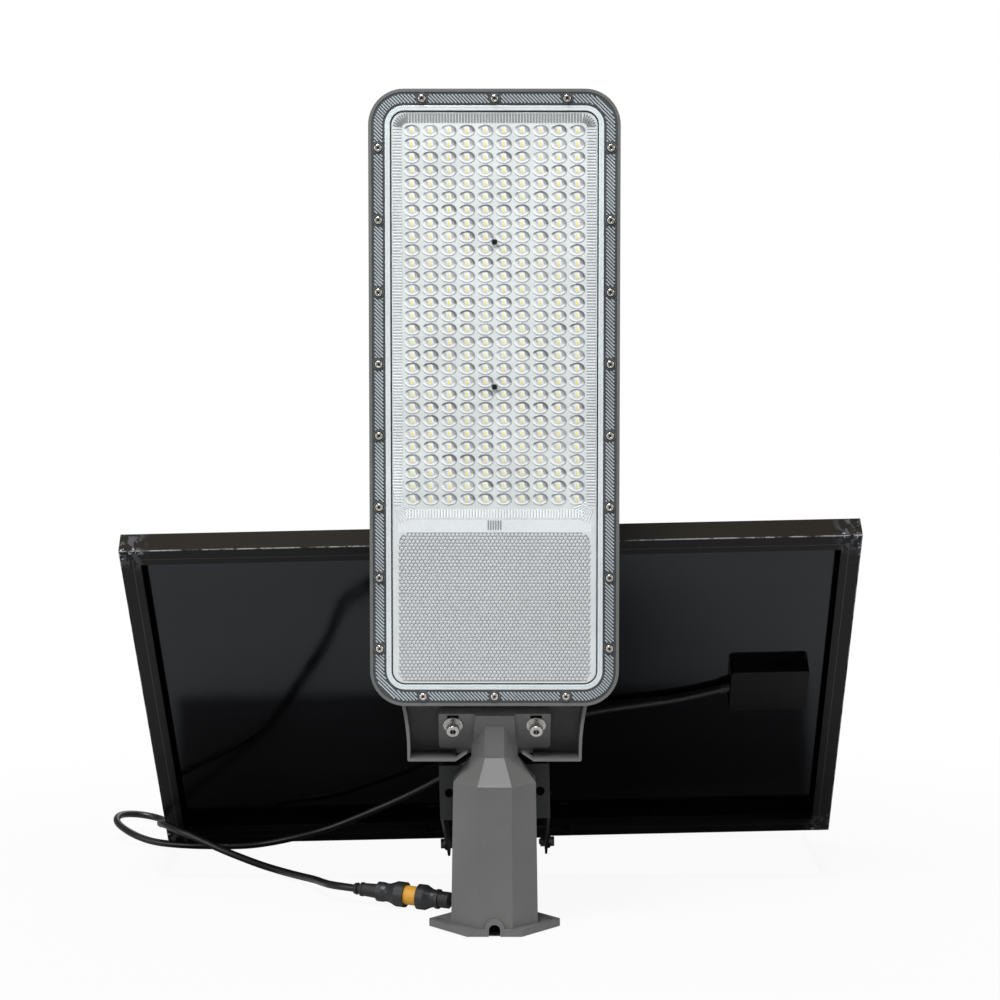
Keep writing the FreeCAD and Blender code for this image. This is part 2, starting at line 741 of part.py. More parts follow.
def seal_ring(slack):
    w = cover_w - 2 * seat_gap - 2 * cover_rim_w
    h = cover_h - 2 * seat_gap - 2 * cover_rim_w
    r = cover_r - seat_gap - cover_rim_w
    y0 = cover_face_y
    outer = rounded_block(w, h, r, y0 - slack, y0 + seal_t + slack, head_z)
    inner = rounded_block(w - 2 * seal_w - slack, h - 2 * seal_w - slack, r - seal_w,
                          y0 - 1, y0 + seal_t + 1, head_z)
    return outer.cut(inner)


def lens_screws():
    screws = []
    for z in lens_screw_zs:
        head = rod(lens_screw_head_r, lens_screw_head_h, V(0, cover_face_y, z), -AXIS_Y)
        shank = rod(lens_screw_r, board_y + board_t + board_screw_len - 3 - cover_face_y,
                    V(0, cover_face_y, z), AXIS_Y)
        socket = hex_rod(lens_hex_r, lens_screw_head_h,
                         V(0, cover_face_y - lens_screw_head_h + lens_hex_depth, z), -AXIS_Y)
        screws.append(fuse([head, shank]).cut(socket))
    return group(screws)


def lens_spacers():
    """Sleeves that hold the cover off the board round the two middle screws."""
    length = board_y - (cover_face_y + cover_t)
    sleeves = []
    for z in lens_screw_zs:
        at = V(0, cover_face_y + cover_t, z)
        sleeve = rod(spacer_r, length, at, AXIS_Y)
        sleeves.append(sleeve.cut(rod(lens_screw_r + washer_slack, length, at, AXIS_Y)))
    return group(sleeves)


def led_board():
    board = box(-board_w / 2, board_w / 2, board_y, board_y + board_t, board_foot_z, board_head_z)
    holes = [rod(board_screw_r + screw_slack, 4, V(side * post_x, board_y - 1, z), AXIS_Y)
             for z in post_zs for side in (-1, 1)]
    holes += [rod(lens_screw_r + screw_slack, 4, V(0, board_y - 1, z), AXIS_Y)
              for z in lens_screw_zs]
    return board.cut(group(holes))


def led_chips():
    chips = []
    for col in range(led_cols):
        for row in range(led_rows):
            x = (col - (led_cols - 1) / 2) * led_pitch_x
            z = led_z + (row - (led_rows - 1) / 2) * led_pitch_z
            chips.append(box(x - led_w / 2, x + led_w / 2, board_y - led_t, board_y,
                             z - led_h / 2, z + led_h / 2))
    return group(chips)


slot_depth = 0.7
slot_half = 0.4


def pan_screw(x, y, z, r, head_r, head_h, length):
    head = rod(head_r, head_h, V(x, y, z), -AXIS_Y)
    shank = rod(r, length, V(x, y, z), AXIS_Y)
    slot = box(x - head_r, x + head_r, y - head_h - 1, y - head_h + slot_depth,
               z - slot_half, z + slot_half)
    return fuse([head, shank]).cut(slot)


def board_screws():
    return group([pan_screw(side * post_x, board_y, z, board_screw_r, board_screw_head_r,
                            board_screw_head_h, board_screw_len - 1)
                  for z in post_zs + cover_plate_post_zs for side in (-1, 1)])


def battery_cover():
    """White plate behind the lower window, in front of the cells."""
    plate = box(-cover_plate_w / 2, cover_plate_w / 2, board_y, board_y + board_t,
                cover_plate_foot_z, cover_plate_head_z)
    holes = [rod(board_screw_r + screw_slack, 4, V(side * post_x, board_y - 1, z), AXIS_Y)
             for z in cover_plate_post_zs for side in (-1, 1)]
    return plate.cut(group(holes))


def light_sensor():
    """Dusk sensor and remote receiver on the battery cover's top edge."""
    z = cover_plate_head_z - sensor_h
    body = box(-sensor_w / 2, sensor_w / 2, board_y - sensor_t, board_y, z, z + sensor_h)
    dome = Part.makeSphere(sensor_dome_r, V(0, board_y - sensor_t, z + sensor_h / 2))
    return fuse([body, dome])


# ------------------------------------------------------------ battery and controller
cell_y = floor_y - tray_plate_t - cell_r


def battery_cells():
    cells = []
    for row in range(cell_rows):
        z = cell_foot_z + row * cell_pitch
        for side in (-1, 1):
            x0 = cell_gap / 2 if side > 0 else -cell_gap / 2 - cell_len
            can = rod(cell_r, cell_len, V(x0, cell_y, z), AXIS_X)
            stud_x = x0 + cell_len if side > 0 else x0 - cell_stud_h
            stud = rod(cell_stud_r, cell_stud_h, V(stud_x, cell_y, z), AXIS_X)
            cells.append(fuse([can, stud]))
    return group(cells)


def battery_ends():
    """Foot and top of the battery tray."""
    low = cell_foot_z - cell_r - cell_edge
    high = cell_foot_z + (cell_rows - 1) * cell_pitch + cell_r + cell_edge
    return low, high


def battery_tray():
    half = cell_len + cell_gap / 2 + cell_edge
    low, high = battery_ends()
    floor = box(-half, half, floor_y - tray_plate_t, floor_y, low, high)
    lips = [box(-half, half, floor_y - cell_lip_h, floor_y, low, low + cell_lip_t),
            box(-half, half, floor_y - cell_lip_h, floor_y, high - cell_lip_t, high)]
    return fuse([floor] + lips)


def battery_straps():
    low, high = battery_ends()
    front = cell_y - cell_r
    straps = []
    for side in (-1, 1):
        x0 = side * strap_x - strap_w / 2
        bar = box(x0, x0 + strap_w, front - strap_t, front, low - strap_t, high + strap_t)
        legs = [box(x0, x0 + strap_w, front - strap_t, floor_y, low - strap_t, low),
                box(x0, x0 + strap_w, front - strap_t, floor_y, high, high + strap_t)]
        straps.append(fuse([bar] + legs))
    return group(straps)


def ctrl_hole_places():
    dx = ctrl_w / 2 - ctrl_hole_inset
    dz = ctrl_h / 2 - ctrl_hole_inset
    return [(sx * dx, ctrl_z + sz * dz) for sx in (-1, 1) for sz in (-1, 1)]


ctrl_y = floor_y - ctrl_post_h - ctrl_t


def controller_board():
    board = box(-ctrl_w / 2, ctrl_w / 2, ctrl_y, ctrl_y + ctrl_t, ctrl_z - ctrl_h / 2,
                ctrl_z + ctrl_h / 2)
    holes = [rod(ctrl_screw_r + screw_slack, 4, V(x, ctrl_y - 1, z), AXIS_Y)
             for x, z in ctrl_hole_places()]
    return board.cut(group(holes))


def on_controller(x, z, w, h, t):
    z += ctrl_z
    return box(x - w / 2, x + w / 2, ctrl_y - t, ctrl_y, z - h / 2, z + h / 2)


def controller_parts():
    """Choke, capacitors, chips and terminal blocks on the controller."""
    places = [on_controller(choke_x, 0, choke_w, choke_h, choke_t),
              on_controller(chip_x, -chip_drop, chip_w, chip_w, chip_t)]
    for side in (-1, 1):
        places.append(on_controller(side * terminal_strip_x, 0, terminal_strip_w,
                                    terminal_strip_h, terminal_strip_t))
        z = ctrl_z + capacitor_rise + side * capacitor_pitch / 2
        places.append(rod(capacitor_r, capacitor_h, V(capacitor_x, ctrl_y, z), -AXIS_Y))
    return group(places)


def controller_screws():
    return group([pan_screw(x, ctrl_y, z, ctrl_screw_r, ctrl_screw_head_r, ctrl_screw_head_h,
                            ctrl_screw_len) for x, z in ctrl_hole_places()])


# ------------------------------------------------------------ gland and vent
def lamp_gland():
    at = V(gland_x, back_y, gland_z)
    nut = hex_rod(gland_hex_r, gland_nut_h, at, AXIS_Y)
    neck = rod(gland_neck_r, shell_t, at - AXIS_Y * shell_t, AXIS_Y)
    cone = Part.makeCone(gland_hex_r * 0.8, gland_cone_r, gland_cone_len,
                         at + AXIS_Y * gland_nut_h, AXIS_Y)
    return fuse([nut, neck, cone])


def gland_nut():
    at = V(gland_x, floor_y - gland_hex_h, gland_z)
    nut = hex_rod(gland_hex_r, gland_hex_h, at, AXIS_Y)
    return nut.cut(rod(gland_neck_r - 1.5, gland_hex_h, at, AXIS_Y))


def breather_vent():
    at = V(vent_x, back_y, vent_z)
    cap = rod(vent_r, vent_h, at, AXIS_Y)
    cap = cap.makeFillet(1.0, [e for e in cap.Edges if e.BoundBox.YMin > back_y + vent_h - 0.01])
    return fuse([cap, rod(vent_stem_r, shell_t, at - AXIS_Y * shell_t, AXIS_Y)])


# ------------------------------------------------------------ panel bracket
arm_end_r = pivot_out - hinge_t - 0.6
rail_bolt_up = (chamber_w + rear_lip) / 2


def pivot_local():
    """Pivot axis in the unrolled frame, at x=0."""
    at = panel_placement().multVec(V(0, pivot_up, pivot_out))
    return V(0, at.y, at.z)


def foot_level():
    """Height of the feet before the roll, so that the lower foot stands on the ground."""
    lean = math.radians(bracket_roll)
    return bracket_hole_z - (bracket_hole_z - bracket_half_w * math.sin(lean)) / math.cos(lean)


def bracket_side(x0):
    pivot = pivot_local()
    low = foot_level()
    web_back = pad_y + sheet_wall
    outline = [(x0, pad_y, web_low), (x0, pad_y, web_high), (x0, arm_shoulder_y, web_high),
               (x0, pivot.y, pivot.z + arm_end_r), (x0, pivot.y, low),
               (x0, pivot.y - arm_foot_back, low),
               (x0, web_back + (arm_shoulder_y - web_back), web_low - 4)]
    side = prism(outline, V(sheet_wall, 0, 0))
    end = rod(arm_end_r, sheet_wall, V(x0, pivot.y, pivot.z), AXIS_X)
    end = end.cut(box(x0 - 1, x0 + sheet_wall + 1, pivot.y - 2 * arm_end_r,
                      pivot.y + 2 * arm_end_r, low - arm_end_r, low))
    side = fuse([side, end])
    return side.cut(rod(pivot_r + running_slack, sheet_wall + 2, V(x0 - 1, pivot.y, pivot.z),
                        AXIS_X))


def panel_bracket():
    web = box(-bracket_half_w, bracket_half_w, pad_y, pad_y + sheet_wall, web_low, web_high)
    bracket = fuse([web, bracket_side(-bracket_half_w),
                    bracket_side(bracket_half_w - sheet_wall)])
    for side in (-1, 1):
        bracket = bracket.cut(rod(bracket_hole_r, sheet_wall + 2,
                                  V(side * bracket_hole_x, pad_y - 1, bracket_hole_z), AXIS_Y))
    for rise in (-bracket_bolt_rise, bracket_bolt_rise):
        bracket = bracket.cut(rod(bracket_bolt_r + screw_slack, sheet_wall + 2,
                                  V(0, pad_y - 1, bracket_hole_z + rise), AXIS_Y))
    return rolled(bracket)


def bracket_bolts():
    bolts = []
    for centre in bracket_bolt_centres():
        seat = centre + AXIS_Y * (sheet_wall + bracket_washer_t)
        head = hex_rod(bracket_head_r, bracket_head_h, seat, AXIS_Y)
        shank = rod(bracket_bolt_r, bracket_bolt_len + sheet_wall - 2, seat, -AXIS_Y)
        bolts.append(fuse([head, shank]))
    return group(bolts)


def bracket_washers():
    washers = []
    for centre in bracket_bolt_centres():
        seat = centre + AXIS_Y * sheet_wall
        ring = rod(bracket_washer_r, bracket_washer_t, seat, AXIS_Y)
        washers.append(ring.cut(rod(bracket_bolt_r + washer_slack, bracket_washer_t, seat, AXIS_Y)))
    return group(washers)


# ------------------------------------------------------------ hinge on the bottom rail
def hinge_plate():
    """Folded strap on the bottom rail's rear lip, with an ear outside each arm."""
    outer = bracket_half_w + hinge_slack + hinge_t
    shift = -panel_foot_x
    strap = box(shift - outer, shift + outer, 1.0, rear_lip - 1.0, 0, hinge_t)
    pieces = [strap]
    for side in (-1, 1):
        x0 = shift + side * outer - (hinge_t if side > 0 else 0)
        ear = fuse([box(x0, x0 + hinge_t, pivot_up - ear_r, pivot_up + ear_r, 0, pivot_out),
                    rod(ear_r, hinge_t, V(x0, pivot_up, pivot_out), AXIS_X)])
        pieces.append(ear)
    hinge = fuse(pieces)
    for side in (-1, 1):
        hinge = hinge.cut(rod(rail_bolt_r + screw_slack, hinge_t + 2,
                              V(side * rail_bolt_x, rail_bolt_up, -1), AXIS_Z))
    return on_panel(hinge.cut(rod(pivot_r + running_slack, 3 * outer,
                                  V(shift - 1.5 * outer, pivot_up, pivot_out), AXIS_X)))


def rail_bolts():
    bolts = []
    for side in (-1, 1):
        at = V(side * rail_bolt_x, rail_bolt_up, hinge_t)
        head = rod(rail_bolt_head_r, rail_bolt_head_h, at, AXIS_Z)
        head = head.cut(hex_rod(rail_hex_r, rail_bolt_head_h,
                                at + AXIS_Z * (rail_bolt_head_h - rail_hex_depth), AXIS_Z))
        bolts.append(fuse([head, rod(rail_bolt_r, hinge_t + rail_t + rail_nut_h + 1, at, -AXIS_Z)]))
    return on_panel(group(bolts))


def rail_nuts():
    nuts = []
    for side in (-1, 1):
        at = V(side * rail_bolt_x, rail_bolt_up, -rail_t - rail_nut_h)
        nut = hex_rod(rail_nut_r, rail_nut_h, at, AXIS_Z)
        nuts.append(nut.cut(rod(rail_bolt_r + screw_slack, rail_nut_h, at, AXIS_Z)))
    return on_panel(group(nuts))


def pivot_set():
    """Pivot bolts with their heads outside the ears and nuts inside the arms."""
    pivot = pivot_local()
    bolts, nuts, washers = [], [], []
    for side in (-1, 1):
        out = AXIS_X * side
        face = bracket_half_w + hinge_slack + hinge_t
        at = V(side * face, pivot.y, pivot.z)
        washer = rod(pivot_washer_r, pivot_washer_t, at, out)
        washers.append(washer.cut(rod(pivot_r + washer_slack, pivot_washer_t, at, out)))
        seat = at + out * pivot_washer_t
        inside = bracket_half_w - sheet_wall
        length = seat.x * side - inside + pivot_nut_h + 1.5
        bolts.append(fuse([hex_rod(pivot_head_r, pivot_head_h, seat, out),
                           rod(pivot_r, length, seat, -out)]))
        at_nut = V(side * inside, pivot.y, pivot.z)
        nut = hex_rod(pivot_nut_r, pivot_nut_h, at_nut, -out)
        nuts.append(nut.cut(rod(pivot_r + screw_slack, pivot_nut_h, at_nut, -out)))
    return rolled(group(bolts)), rolled(group(nuts)), rolled(group(washers))


# ------------------------------------------------------------ panel
glass_z = -panel_t + rail_t          # front of the glass, behind the front lip


def rail(length, slots):
    """One frame member along +X, its outer face on y=0 and its rear lip on z=0."""
    def bar(y0, y1, z0, z1):
        return box(-length / 2, length / 2, y0, y1, z0, z1)
    shelf = glass_z + laminate_t + 2 * laminate_slack
    member = fuse([bar(0, rail_t, -panel_t, 0), bar(0, rear_lip, -rail_t, 0),
                   bar(0, front_lip, -panel_t, -panel_t + rail_t),
                   bar(0, chamber_w, shelf, shelf + rail_t),
                   bar(chamber_w - rail_t, chamber_w, shelf, 0)])
    slot_y = rear_lip - rail_slot_edge - rail_slot_w / 2
    for x in slots:
        half = (rail_slot_len - rail_slot_w) / 2
        hole = fuse([box(x - half, x + half, rear_lip - rail_slot_edge - rail_slot_w,
                         rear_lip - rail_slot_edge, -rail_t - 1, 1),
                     rod(rail_slot_w / 2, rail_t + 2,
                         V(x - half, slot_y, -rail_t - 1), AXIS_Z),
                     rod(rail_slot_w / 2, rail_t + 2,
                         V(x + half, slot_y, -rail_t - 1), AXIS_Z)])
        member = member.cut(hole)
    reach = 2 * rear_lip
    for side in (-1, 1):
        end = side * length / 2
        wedge = prism([(end, 0, -panel_t - 1), (end - side * reach, reach, -panel_t - 1),
                       (end + side * reach, reach, -panel_t - 1),
                       (end + side * reach, 0, -panel_t - 1)], V(0, 0, panel_t + 2))
        member = member.cut(wedge)
    return member


def turned(shape, angle, at):
    moved = shape.copy()
    moved.rotate(V(0, 0, 0), AXIS_Z, angle)
    moved.translate(V(*at))
    return moved


def panel_rails():
    slots = (-rail_slot_x, rail_slot_x)
    bottom = rail(panel_w, slots)
    for side in (-1, 1):
        bottom = bottom.cut(rod(rail_bolt_r + screw_slack, rail_t + 2,
                                V(side * rail_bolt_x, rail_bolt_up, -rail_t - 1), AXIS_Z))
    top = turned(rail(panel_w, slots), 180, (0, panel_h, 0))
    left = turned(rail(panel_h, ()), -90, (-panel_w / 2, panel_h / 2, 0))
    right = turned(rail(panel_h, ()), 90, (panel_w / 2, panel_h / 2, 0))
    return {"bottom_rail": on_panel(bottom), "top_rail": on_panel(top),
            "left_stile": on_panel(left), "right_stile": on_panel(right)}


def corner_keys():
    """L-shaped keys pressed into the chambers behind the mitres."""
    shelf = glass_z + laminate_t + 2 * laminate_slack + rail_t
    inset = rail_t + 0.05
    leg_w = chamber_w - 2 * rail_t - 0.1
    keys = []
    for sx in (-1, 1):
        for top in (0, 1):
            x0 = sx * (panel_w / 2 - inset)
            y0 = panel_h - inset if top else inset
            sy = -1 if top else 1
            flat = [(x0, y0), (x0 - sx * key_leg, y0), (x0 - sx * key_leg, y0 + sy * leg_w),
                    (x0 - sx * leg_w, y0 + sy * leg_w), (x0 - sx * leg_w, y0 + sy * key_leg),
                    (x0, y0 + sy * key_leg)]
            keys.append(prism([(x, y, shelf + key_slack) for x, y in flat],
                              V(0, 0, -rail_t - shelf - 2 * key_slack)))
    return on_panel(group(keys))


def laminate_sheet(z0, z1, inset):
    edge = rail_t + laminate_slack + inset
    return box(-panel_w / 2 + edge, panel_w / 2 - edge, edge, panel_h - edge, z0, z1)


glass_back = glass_z + laminate_slack + glass_t
backsheet_back = glass_z + laminate_slack + laminate_t


def solar_glass():
    return on_panel(laminate_sheet(glass_z + laminate_slack, glass_back, 0.0))


def backsheet():
    return on_panel(laminate_sheet(backsheet_back - backsheet_t, backsheet_back, 0.0))


def cell_layer():
    """Encapsulant with its cells, between the glass and the backsheet."""
    return on_panel(laminate_sheet(glass_back, backsheet_back - backsheet_t, 0.0))


def frame_sealant():
    """Bead between the backsheet and the frame's shelf."""
    z0 = backsheet_back
    z1 = z0 + laminate_slack
    outer = laminate_sheet(z0, z1, laminate_side_gap)
    return on_panel(outer.cut(laminate_sheet(z0 - 1, z1 + 1, laminate_side_gap + sealant_w)))


# ------------------------------------------------------------ junction box
def jbox_rounded(w, h, z0, z1, r):
    block = box(jbox_x - w / 2, jbox_x + w / 2, jbox_up - h / 2, jbox_up + h / 2, z0, z1)
    return block.makeFillet(r, edges_along(block, AXIS_Z))


def lead_entry():
    """Where the lead meets the box's gland, and the way into the box."""
    return lead_start, V(lead_run).normalize()


def junction_box_body():
    z0 = backsheet_back
    z1 = z0 + jbox_t - jbox_lid_t
    body = jbox_rounded(jbox_w, jbox_h, z0, z1, jbox_r)
    body = body.cut(jbox_rounded(jbox_w - 2 * jbox_wall, jbox_h - 2 * jbox_wall,
                                 z0 + jbox_wall, z1 + 1, jbox_r - jbox_wall))
    start, along = lead_entry()
    hole = rod(cable_r + 0.05, jbox_gland_len + 4 * jbox_wall, start, along)
    return on_panel(body.cut(hole))


def junction_box_lid():
    z1 = backsheet_back + jbox_t
    lid = jbox_rounded(jbox_w, jbox_h, z1 - jbox_lid_t, z1, jbox_r)
    top = [e for e in lid.Edges if e.BoundBox.ZMin > z1 - 0.01]
    return on_panel(lid.makeFillet(1.0, top))


def junction_gland():
    start, along = lead_entry()
    cone = Part.makeCone(cable_r + 0.9, jbox_gland_r * 0.9, jbox_gland_len + 2 * jbox_wall,
                         start, along)
    return on_panel(cone.cut(jbox_rounded(jbox_w, jbox_h, -panel_t, 0, jbox_r)))


def junction_terminals():
    z0 = backsheet_back + jbox_wall
    blocks = []
    for i in (-1, 0, 1):
        x = jbox_x + i * terminal_pitch
        blocks.append(box(x - terminal_w / 2, x + terminal_w / 2, jbox_up - terminal_h / 2,
                          jbox_up + terminal_h / 2, z0, z0 + terminal_t))
    return on_panel(group(blocks))


# ------------------------------------------------------------ cables
def cord(name, points, r):
    """Tube of straight runs joined by tangent arcs; prints its radii and volume test."""
    edges = []
    radii = []
    start = points[0]
    for i in range(1, len(points) - 1):
        back = points[i - 1] - points[i]
        ahead = points[i + 1] - points[i]
        run = min(back.Length, ahead.Length)
        turn = math.pi - back.getAngle(ahead)
        reach = 0.45 * run
        radius = reach / math.tan(turn / 2)
        back.normalize()
        ahead.normalize()
        first = points[i] + back * reach
        last = points[i] + ahead * reach
        inward = (back + ahead).normalize()
        centre = points[i] + inward * (radius / math.cos(turn / 2))
        edges.append(Part.LineSegment(start, first).toShape())
        edges.append(Part.Arc(first, centre - inward * radius, last).toShape())
        radii.append(round(radius))
        start = last
    edges.append(Part.LineSegment(start, points[-1]).toShape())
    path = Part.Wire(edges)
    heading = (points[1] - points[0]).normalize()
    ring = Part.Wire(Part.makeCircle(r, points[0], heading))
    tube = path.makePipeShell([ring], True, False)
    ideal = math.pi * r * r * path.Length
    print(name, "length", round(path.Length), "volume ratio", round(tube.Volume / ideal, 4),
          "radii", radii, "lowest", round(tube.BoundBox.ZMin, 2))
    return tube


def turned_body(stations, start, along):
    """Body of revolution along a line: stations are (distance, radius)."""
    pts = [V(0, 0, stations[0][0])] + [V(rad, 0, at) for at, rad in stations]
    pts.append(V(0, 0, stations[-1][0]))
    face = Part.Face(Part.makePolygon(pts + [pts[0]]))
    body = face.revolve(V(0, 0, 0), AXIS_Z, 360)
    body.Placement = FreeCAD.Placement(start, FreeCAD.Rotation(AXIS_Z, along))
    return body


connector_axis = (socket_end - plug_start).normalize()
connector_len = (socket_end - plug_start).Length
boot_len = 26.4
seal_start = 57.0
seal_len = 14.0
socket_boot_len = 13.0
boot_r = 7.4
plug_r = 10.0
flare_r = 12.8
ring_r = 9.7


def plug_boot():
    stations = [(0, cable_r + 1.6), (3.3, cable_r + 2.4), (4, cable_r + 0.8),
                (6.5, cable_r + 1.2), (7.2, cable_r + 3.2), (9.5, cable_r + 3.4),
                (10.2, boot_r - 0.8), (boot_len, boot_r)]
    return turned_body(stations, plug_start, connector_axis)


def plug_body():
    stations = [(boot_len, plug_r), (boot_len + 6, plug_r), (boot_len + 10, plug_r - 0.8),
                (boot_len + 13, plug_r - 0.4), (boot_len + 17, plug_r + 1.0),
                (boot_len + 21, flare_r), (seal_start, flare_r)]
    return turned_body(stations, plug_start, connector_axis)


def plug_seal_ring():
    stations = [(seal_start, ring_r), (seal_start + seal_len, ring_r)]
    return turned_body(stations, plug_start, connector_axis)


def socket_body():
    first = seal_start + seal_len
    last = connector_len - socket_boot_len
    stations = [(first, flare_r), (first + 8, flare_r), (first + 12, plug_r + 0.8),
                (first + 15, plug_r - 0.6), (last - 4, plug_r - 1.2), (last - 3, plug_r),
                (last, plug_r)]
    return turned_body(stations, plug_start, connector_axis)


def socket_boot():
    last = connector_len - socket_boot_len
    stations = [(last, boot_r + 0.9), (connector_len - 2, boot_r + 0.9),
                (connector_len, cable_r + 1.6)]
    return turned_body(stations, plug_start, connector_axis)


# ------------------------------------------------------------ write every node
def main():
    save("mounting_arm", mounting_arm())
    save("pole_clamp_screws", pole_clamp_screws())
    save("panel_bracket", panel_bracket())
    save("bracket_bolts", bracket_bolts())
    save("bracket_washers", bracket_washers())

    stacks = [lamp_bolt_stack(side * bolt_x) for side in (-1, 1)]
    for index, name in enumerate(("arm_bolts", "arm_spring_washers", "arm_flat_washers")):
        save(name, group([head_frame(stack[index]) for stack in stacks]))

    save("lamp_housing", lamp_housing())
    save("front_frame", front_frame())
    save("frame_screws", frame_screws())
    save("lens_cover", lens_cover())
    save("lens_seal", seal_ring(0.0))
    save("lens_screws", lens_screws())
    save("lens_spacers", lens_spacers())
    save("led_board", led_board())
    save("led_chips", led_chips())
    save("board_screws", board_screws())
    save("battery_cover", battery_cover())
    save("light_sensor", light_sensor())
    save("battery_cells", battery_cells())
    save("battery_tray", battery_tray())
    save("battery_straps", battery_straps())
    save("controller_board", controller_board())
    save("controller_parts", controller_parts())
    save("controller_screws", controller_screws())
    save("lamp_gland", lamp_gland())
    save("gland_nut", gland_nut())
    save("breather_vent", breather_vent())

    for name, member in panel_rails().items():
        save(name, member)
    save("corner_keys", corner_keys())
    save("solar_glass", solar_glass())
    save("solar_cells", cell_layer())
    save("backsheet", backsheet())
    save("frame_sealant", frame_sealant())
    save("junction_box_body", junction_box_body())
    save("junction_box_lid", junction_box_lid())
    save("junction_gland", junction_gland())
    save("junction_terminals", junction_terminals())
    save("hinge_plate", hinge_plate())
    save("rail_bolts", rail_bolts())
    save("rail_nuts", rail_nuts())
    pivot_bolts, pivot_nuts, pivot_washers = pivot_set()
    save("pivot_bolts", pivot_bolts)
    save("pivot_nuts", pivot_nuts)
    save("pivot_washers", pivot_washers)

    lead = [panel_point(p) for p in panel_lead_across] + [V(*p) for p in panel_lead_drop]
    save("panel_lead", cord("panel_lead", lead, cable_r))
    run_in = plug_start - connector_axis * plug_run_in
    loop = [V(*p) for p in plug_cable_points] + [run_in, plug_start]
    save("plug_cable", cord("plug_cable", loop, cable_r))
    run_out = socket_end + connector_axis * boot_run_out
    drop = [V(*p) for p in lamp_cable_points] + [run_out, socket_end]
    save("lamp_cable", cord("lamp_cable", drop, cable_r))
    save("plug_boot", plug_boot())
    save("plug_body", plug_body())
    save("plug_seal_ring", plug_seal_ring())
    save("socket_body", socket_body())
    save("socket_boot", socket_boot())
    pivot = roll_point(pivot_local())
    print("pivot at", [round(c, 3) for c in pivot], "panel lead", [[round(c, 1) for c in p] for p in lead])


main()
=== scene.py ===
"""Solar street lamp: the finish, the moulded optics and the cables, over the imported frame."""

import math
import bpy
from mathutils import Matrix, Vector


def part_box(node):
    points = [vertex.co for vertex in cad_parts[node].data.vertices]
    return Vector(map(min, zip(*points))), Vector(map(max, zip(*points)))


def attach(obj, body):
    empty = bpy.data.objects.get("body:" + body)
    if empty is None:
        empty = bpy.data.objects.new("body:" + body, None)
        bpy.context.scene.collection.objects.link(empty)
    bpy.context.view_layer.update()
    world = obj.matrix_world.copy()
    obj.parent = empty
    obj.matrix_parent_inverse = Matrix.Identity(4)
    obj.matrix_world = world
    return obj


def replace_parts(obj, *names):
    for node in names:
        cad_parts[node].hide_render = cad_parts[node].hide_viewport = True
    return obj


bl_info = {
    "name": "Solar street lamp",
    "version": (1, 0, 0),
    "blender": (4, 5, 0),
    "location": "3D View > Sidebar > Street lamp",
    "description": "Finishes and details of a solar street lamp with its panel and cables",
    "category": "Object",
}

import bpy
import numpy as np
from mathutils import Matrix, Vector

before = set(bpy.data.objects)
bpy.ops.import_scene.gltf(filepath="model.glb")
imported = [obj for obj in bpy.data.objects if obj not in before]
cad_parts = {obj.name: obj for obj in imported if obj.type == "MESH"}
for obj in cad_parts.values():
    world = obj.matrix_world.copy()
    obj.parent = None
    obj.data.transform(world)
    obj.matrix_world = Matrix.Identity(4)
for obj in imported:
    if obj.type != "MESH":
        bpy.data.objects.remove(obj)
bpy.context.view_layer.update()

MM = 0.001


# ------------------------------------------------------------ settings
def length(name, description, default):
    return bpy.props.FloatProperty(name=name, description=description, default=default,
                                   unit="LENGTH")


def angle(name, description, degrees):
    return bpy.props.FloatProperty(name=name, description=description,
                                   default=math.radians(degrees), unit="ROTATION")


def colour(name, description, default):
    return bpy.props.FloatVectorProperty(name=name, description=description, default=default,
                                         subtype="COLOR", size=3)


class LampHeadSettings(bpy.types.PropertyGroup):
    """Sizes and colours of the lamp head."""
    rib_pitch: length("Rib pitch", "Distance between the frame's slanted ribs", 0.00245)
    lens_pitch_x: length("Lens pitch across", "Distance between two lens columns", 0.0175)
    lens_pitch_z: length("Lens pitch up", "Distance between two lens rows", 0.01254)
    lens_centre_z: length("Lens field centre", "Height of the middle lens row", 0.599)
    lens_columns: bpy.props.IntProperty(
        name="Lens columns", description="Lenses across", default=10)
    lens_rows: bpy.props.IntProperty(name="Lens rows", description="Lenses up", default=29)
    lens_half_x: length("Lens half width", "Half the width of one oval lens", 0.0079)
    lens_half_z: length("Lens half height", "Half the height of one oval lens", 0.0058)
    flute_pitch: length("Flute pitch", "Distance between the border's flutes", 0.0028)
    cast_colour: colour(
        "Casting colour", "Powder coat of the arm and the housing", (0.119, 0.122, 0.117))
    frame_colour: colour("Frame colour", "Coat of the screwed frame", (0.040, 0.046, 0.052))
    cover_colour: colour(
        "Cover colour", "Moulded cover over the white board", (0.62, 0.65, 0.655))


class PanelSettings(bpy.types.PropertyGroup):
    """Place, size and colours of the solar panel and its bracket."""
    frame_colour: colour("Panel frame colour", "Anodised frame members", (0.0045, 0.0045, 0.0050))
    film_colour: colour("Back film colour", "Glossy film on the panel's back",
                        (0.005, 0.005, 0.006))
    width: length("Panel width", "Outside width of the panel's frame", 0.742)
    height: length("Panel height", "Outside height of the panel's frame", 0.470)
    lean: angle("Panel lean", "Lean of the panel from upright at rest", 40.0)
    roll: angle("Panel roll", "How far the right side sits higher", 1.26)
    foot: bpy.props.FloatVectorProperty(
        name="Panel foot", description="Middle of the rear face's lower edge",
        default=(0.0037, 0.3602, 0.0122), subtype="XYZ", size=3)
    bracket_colour: colour(
        "Bracket colour", "Paint of the folded steel bracket", (0.016, 0.017, 0.018))


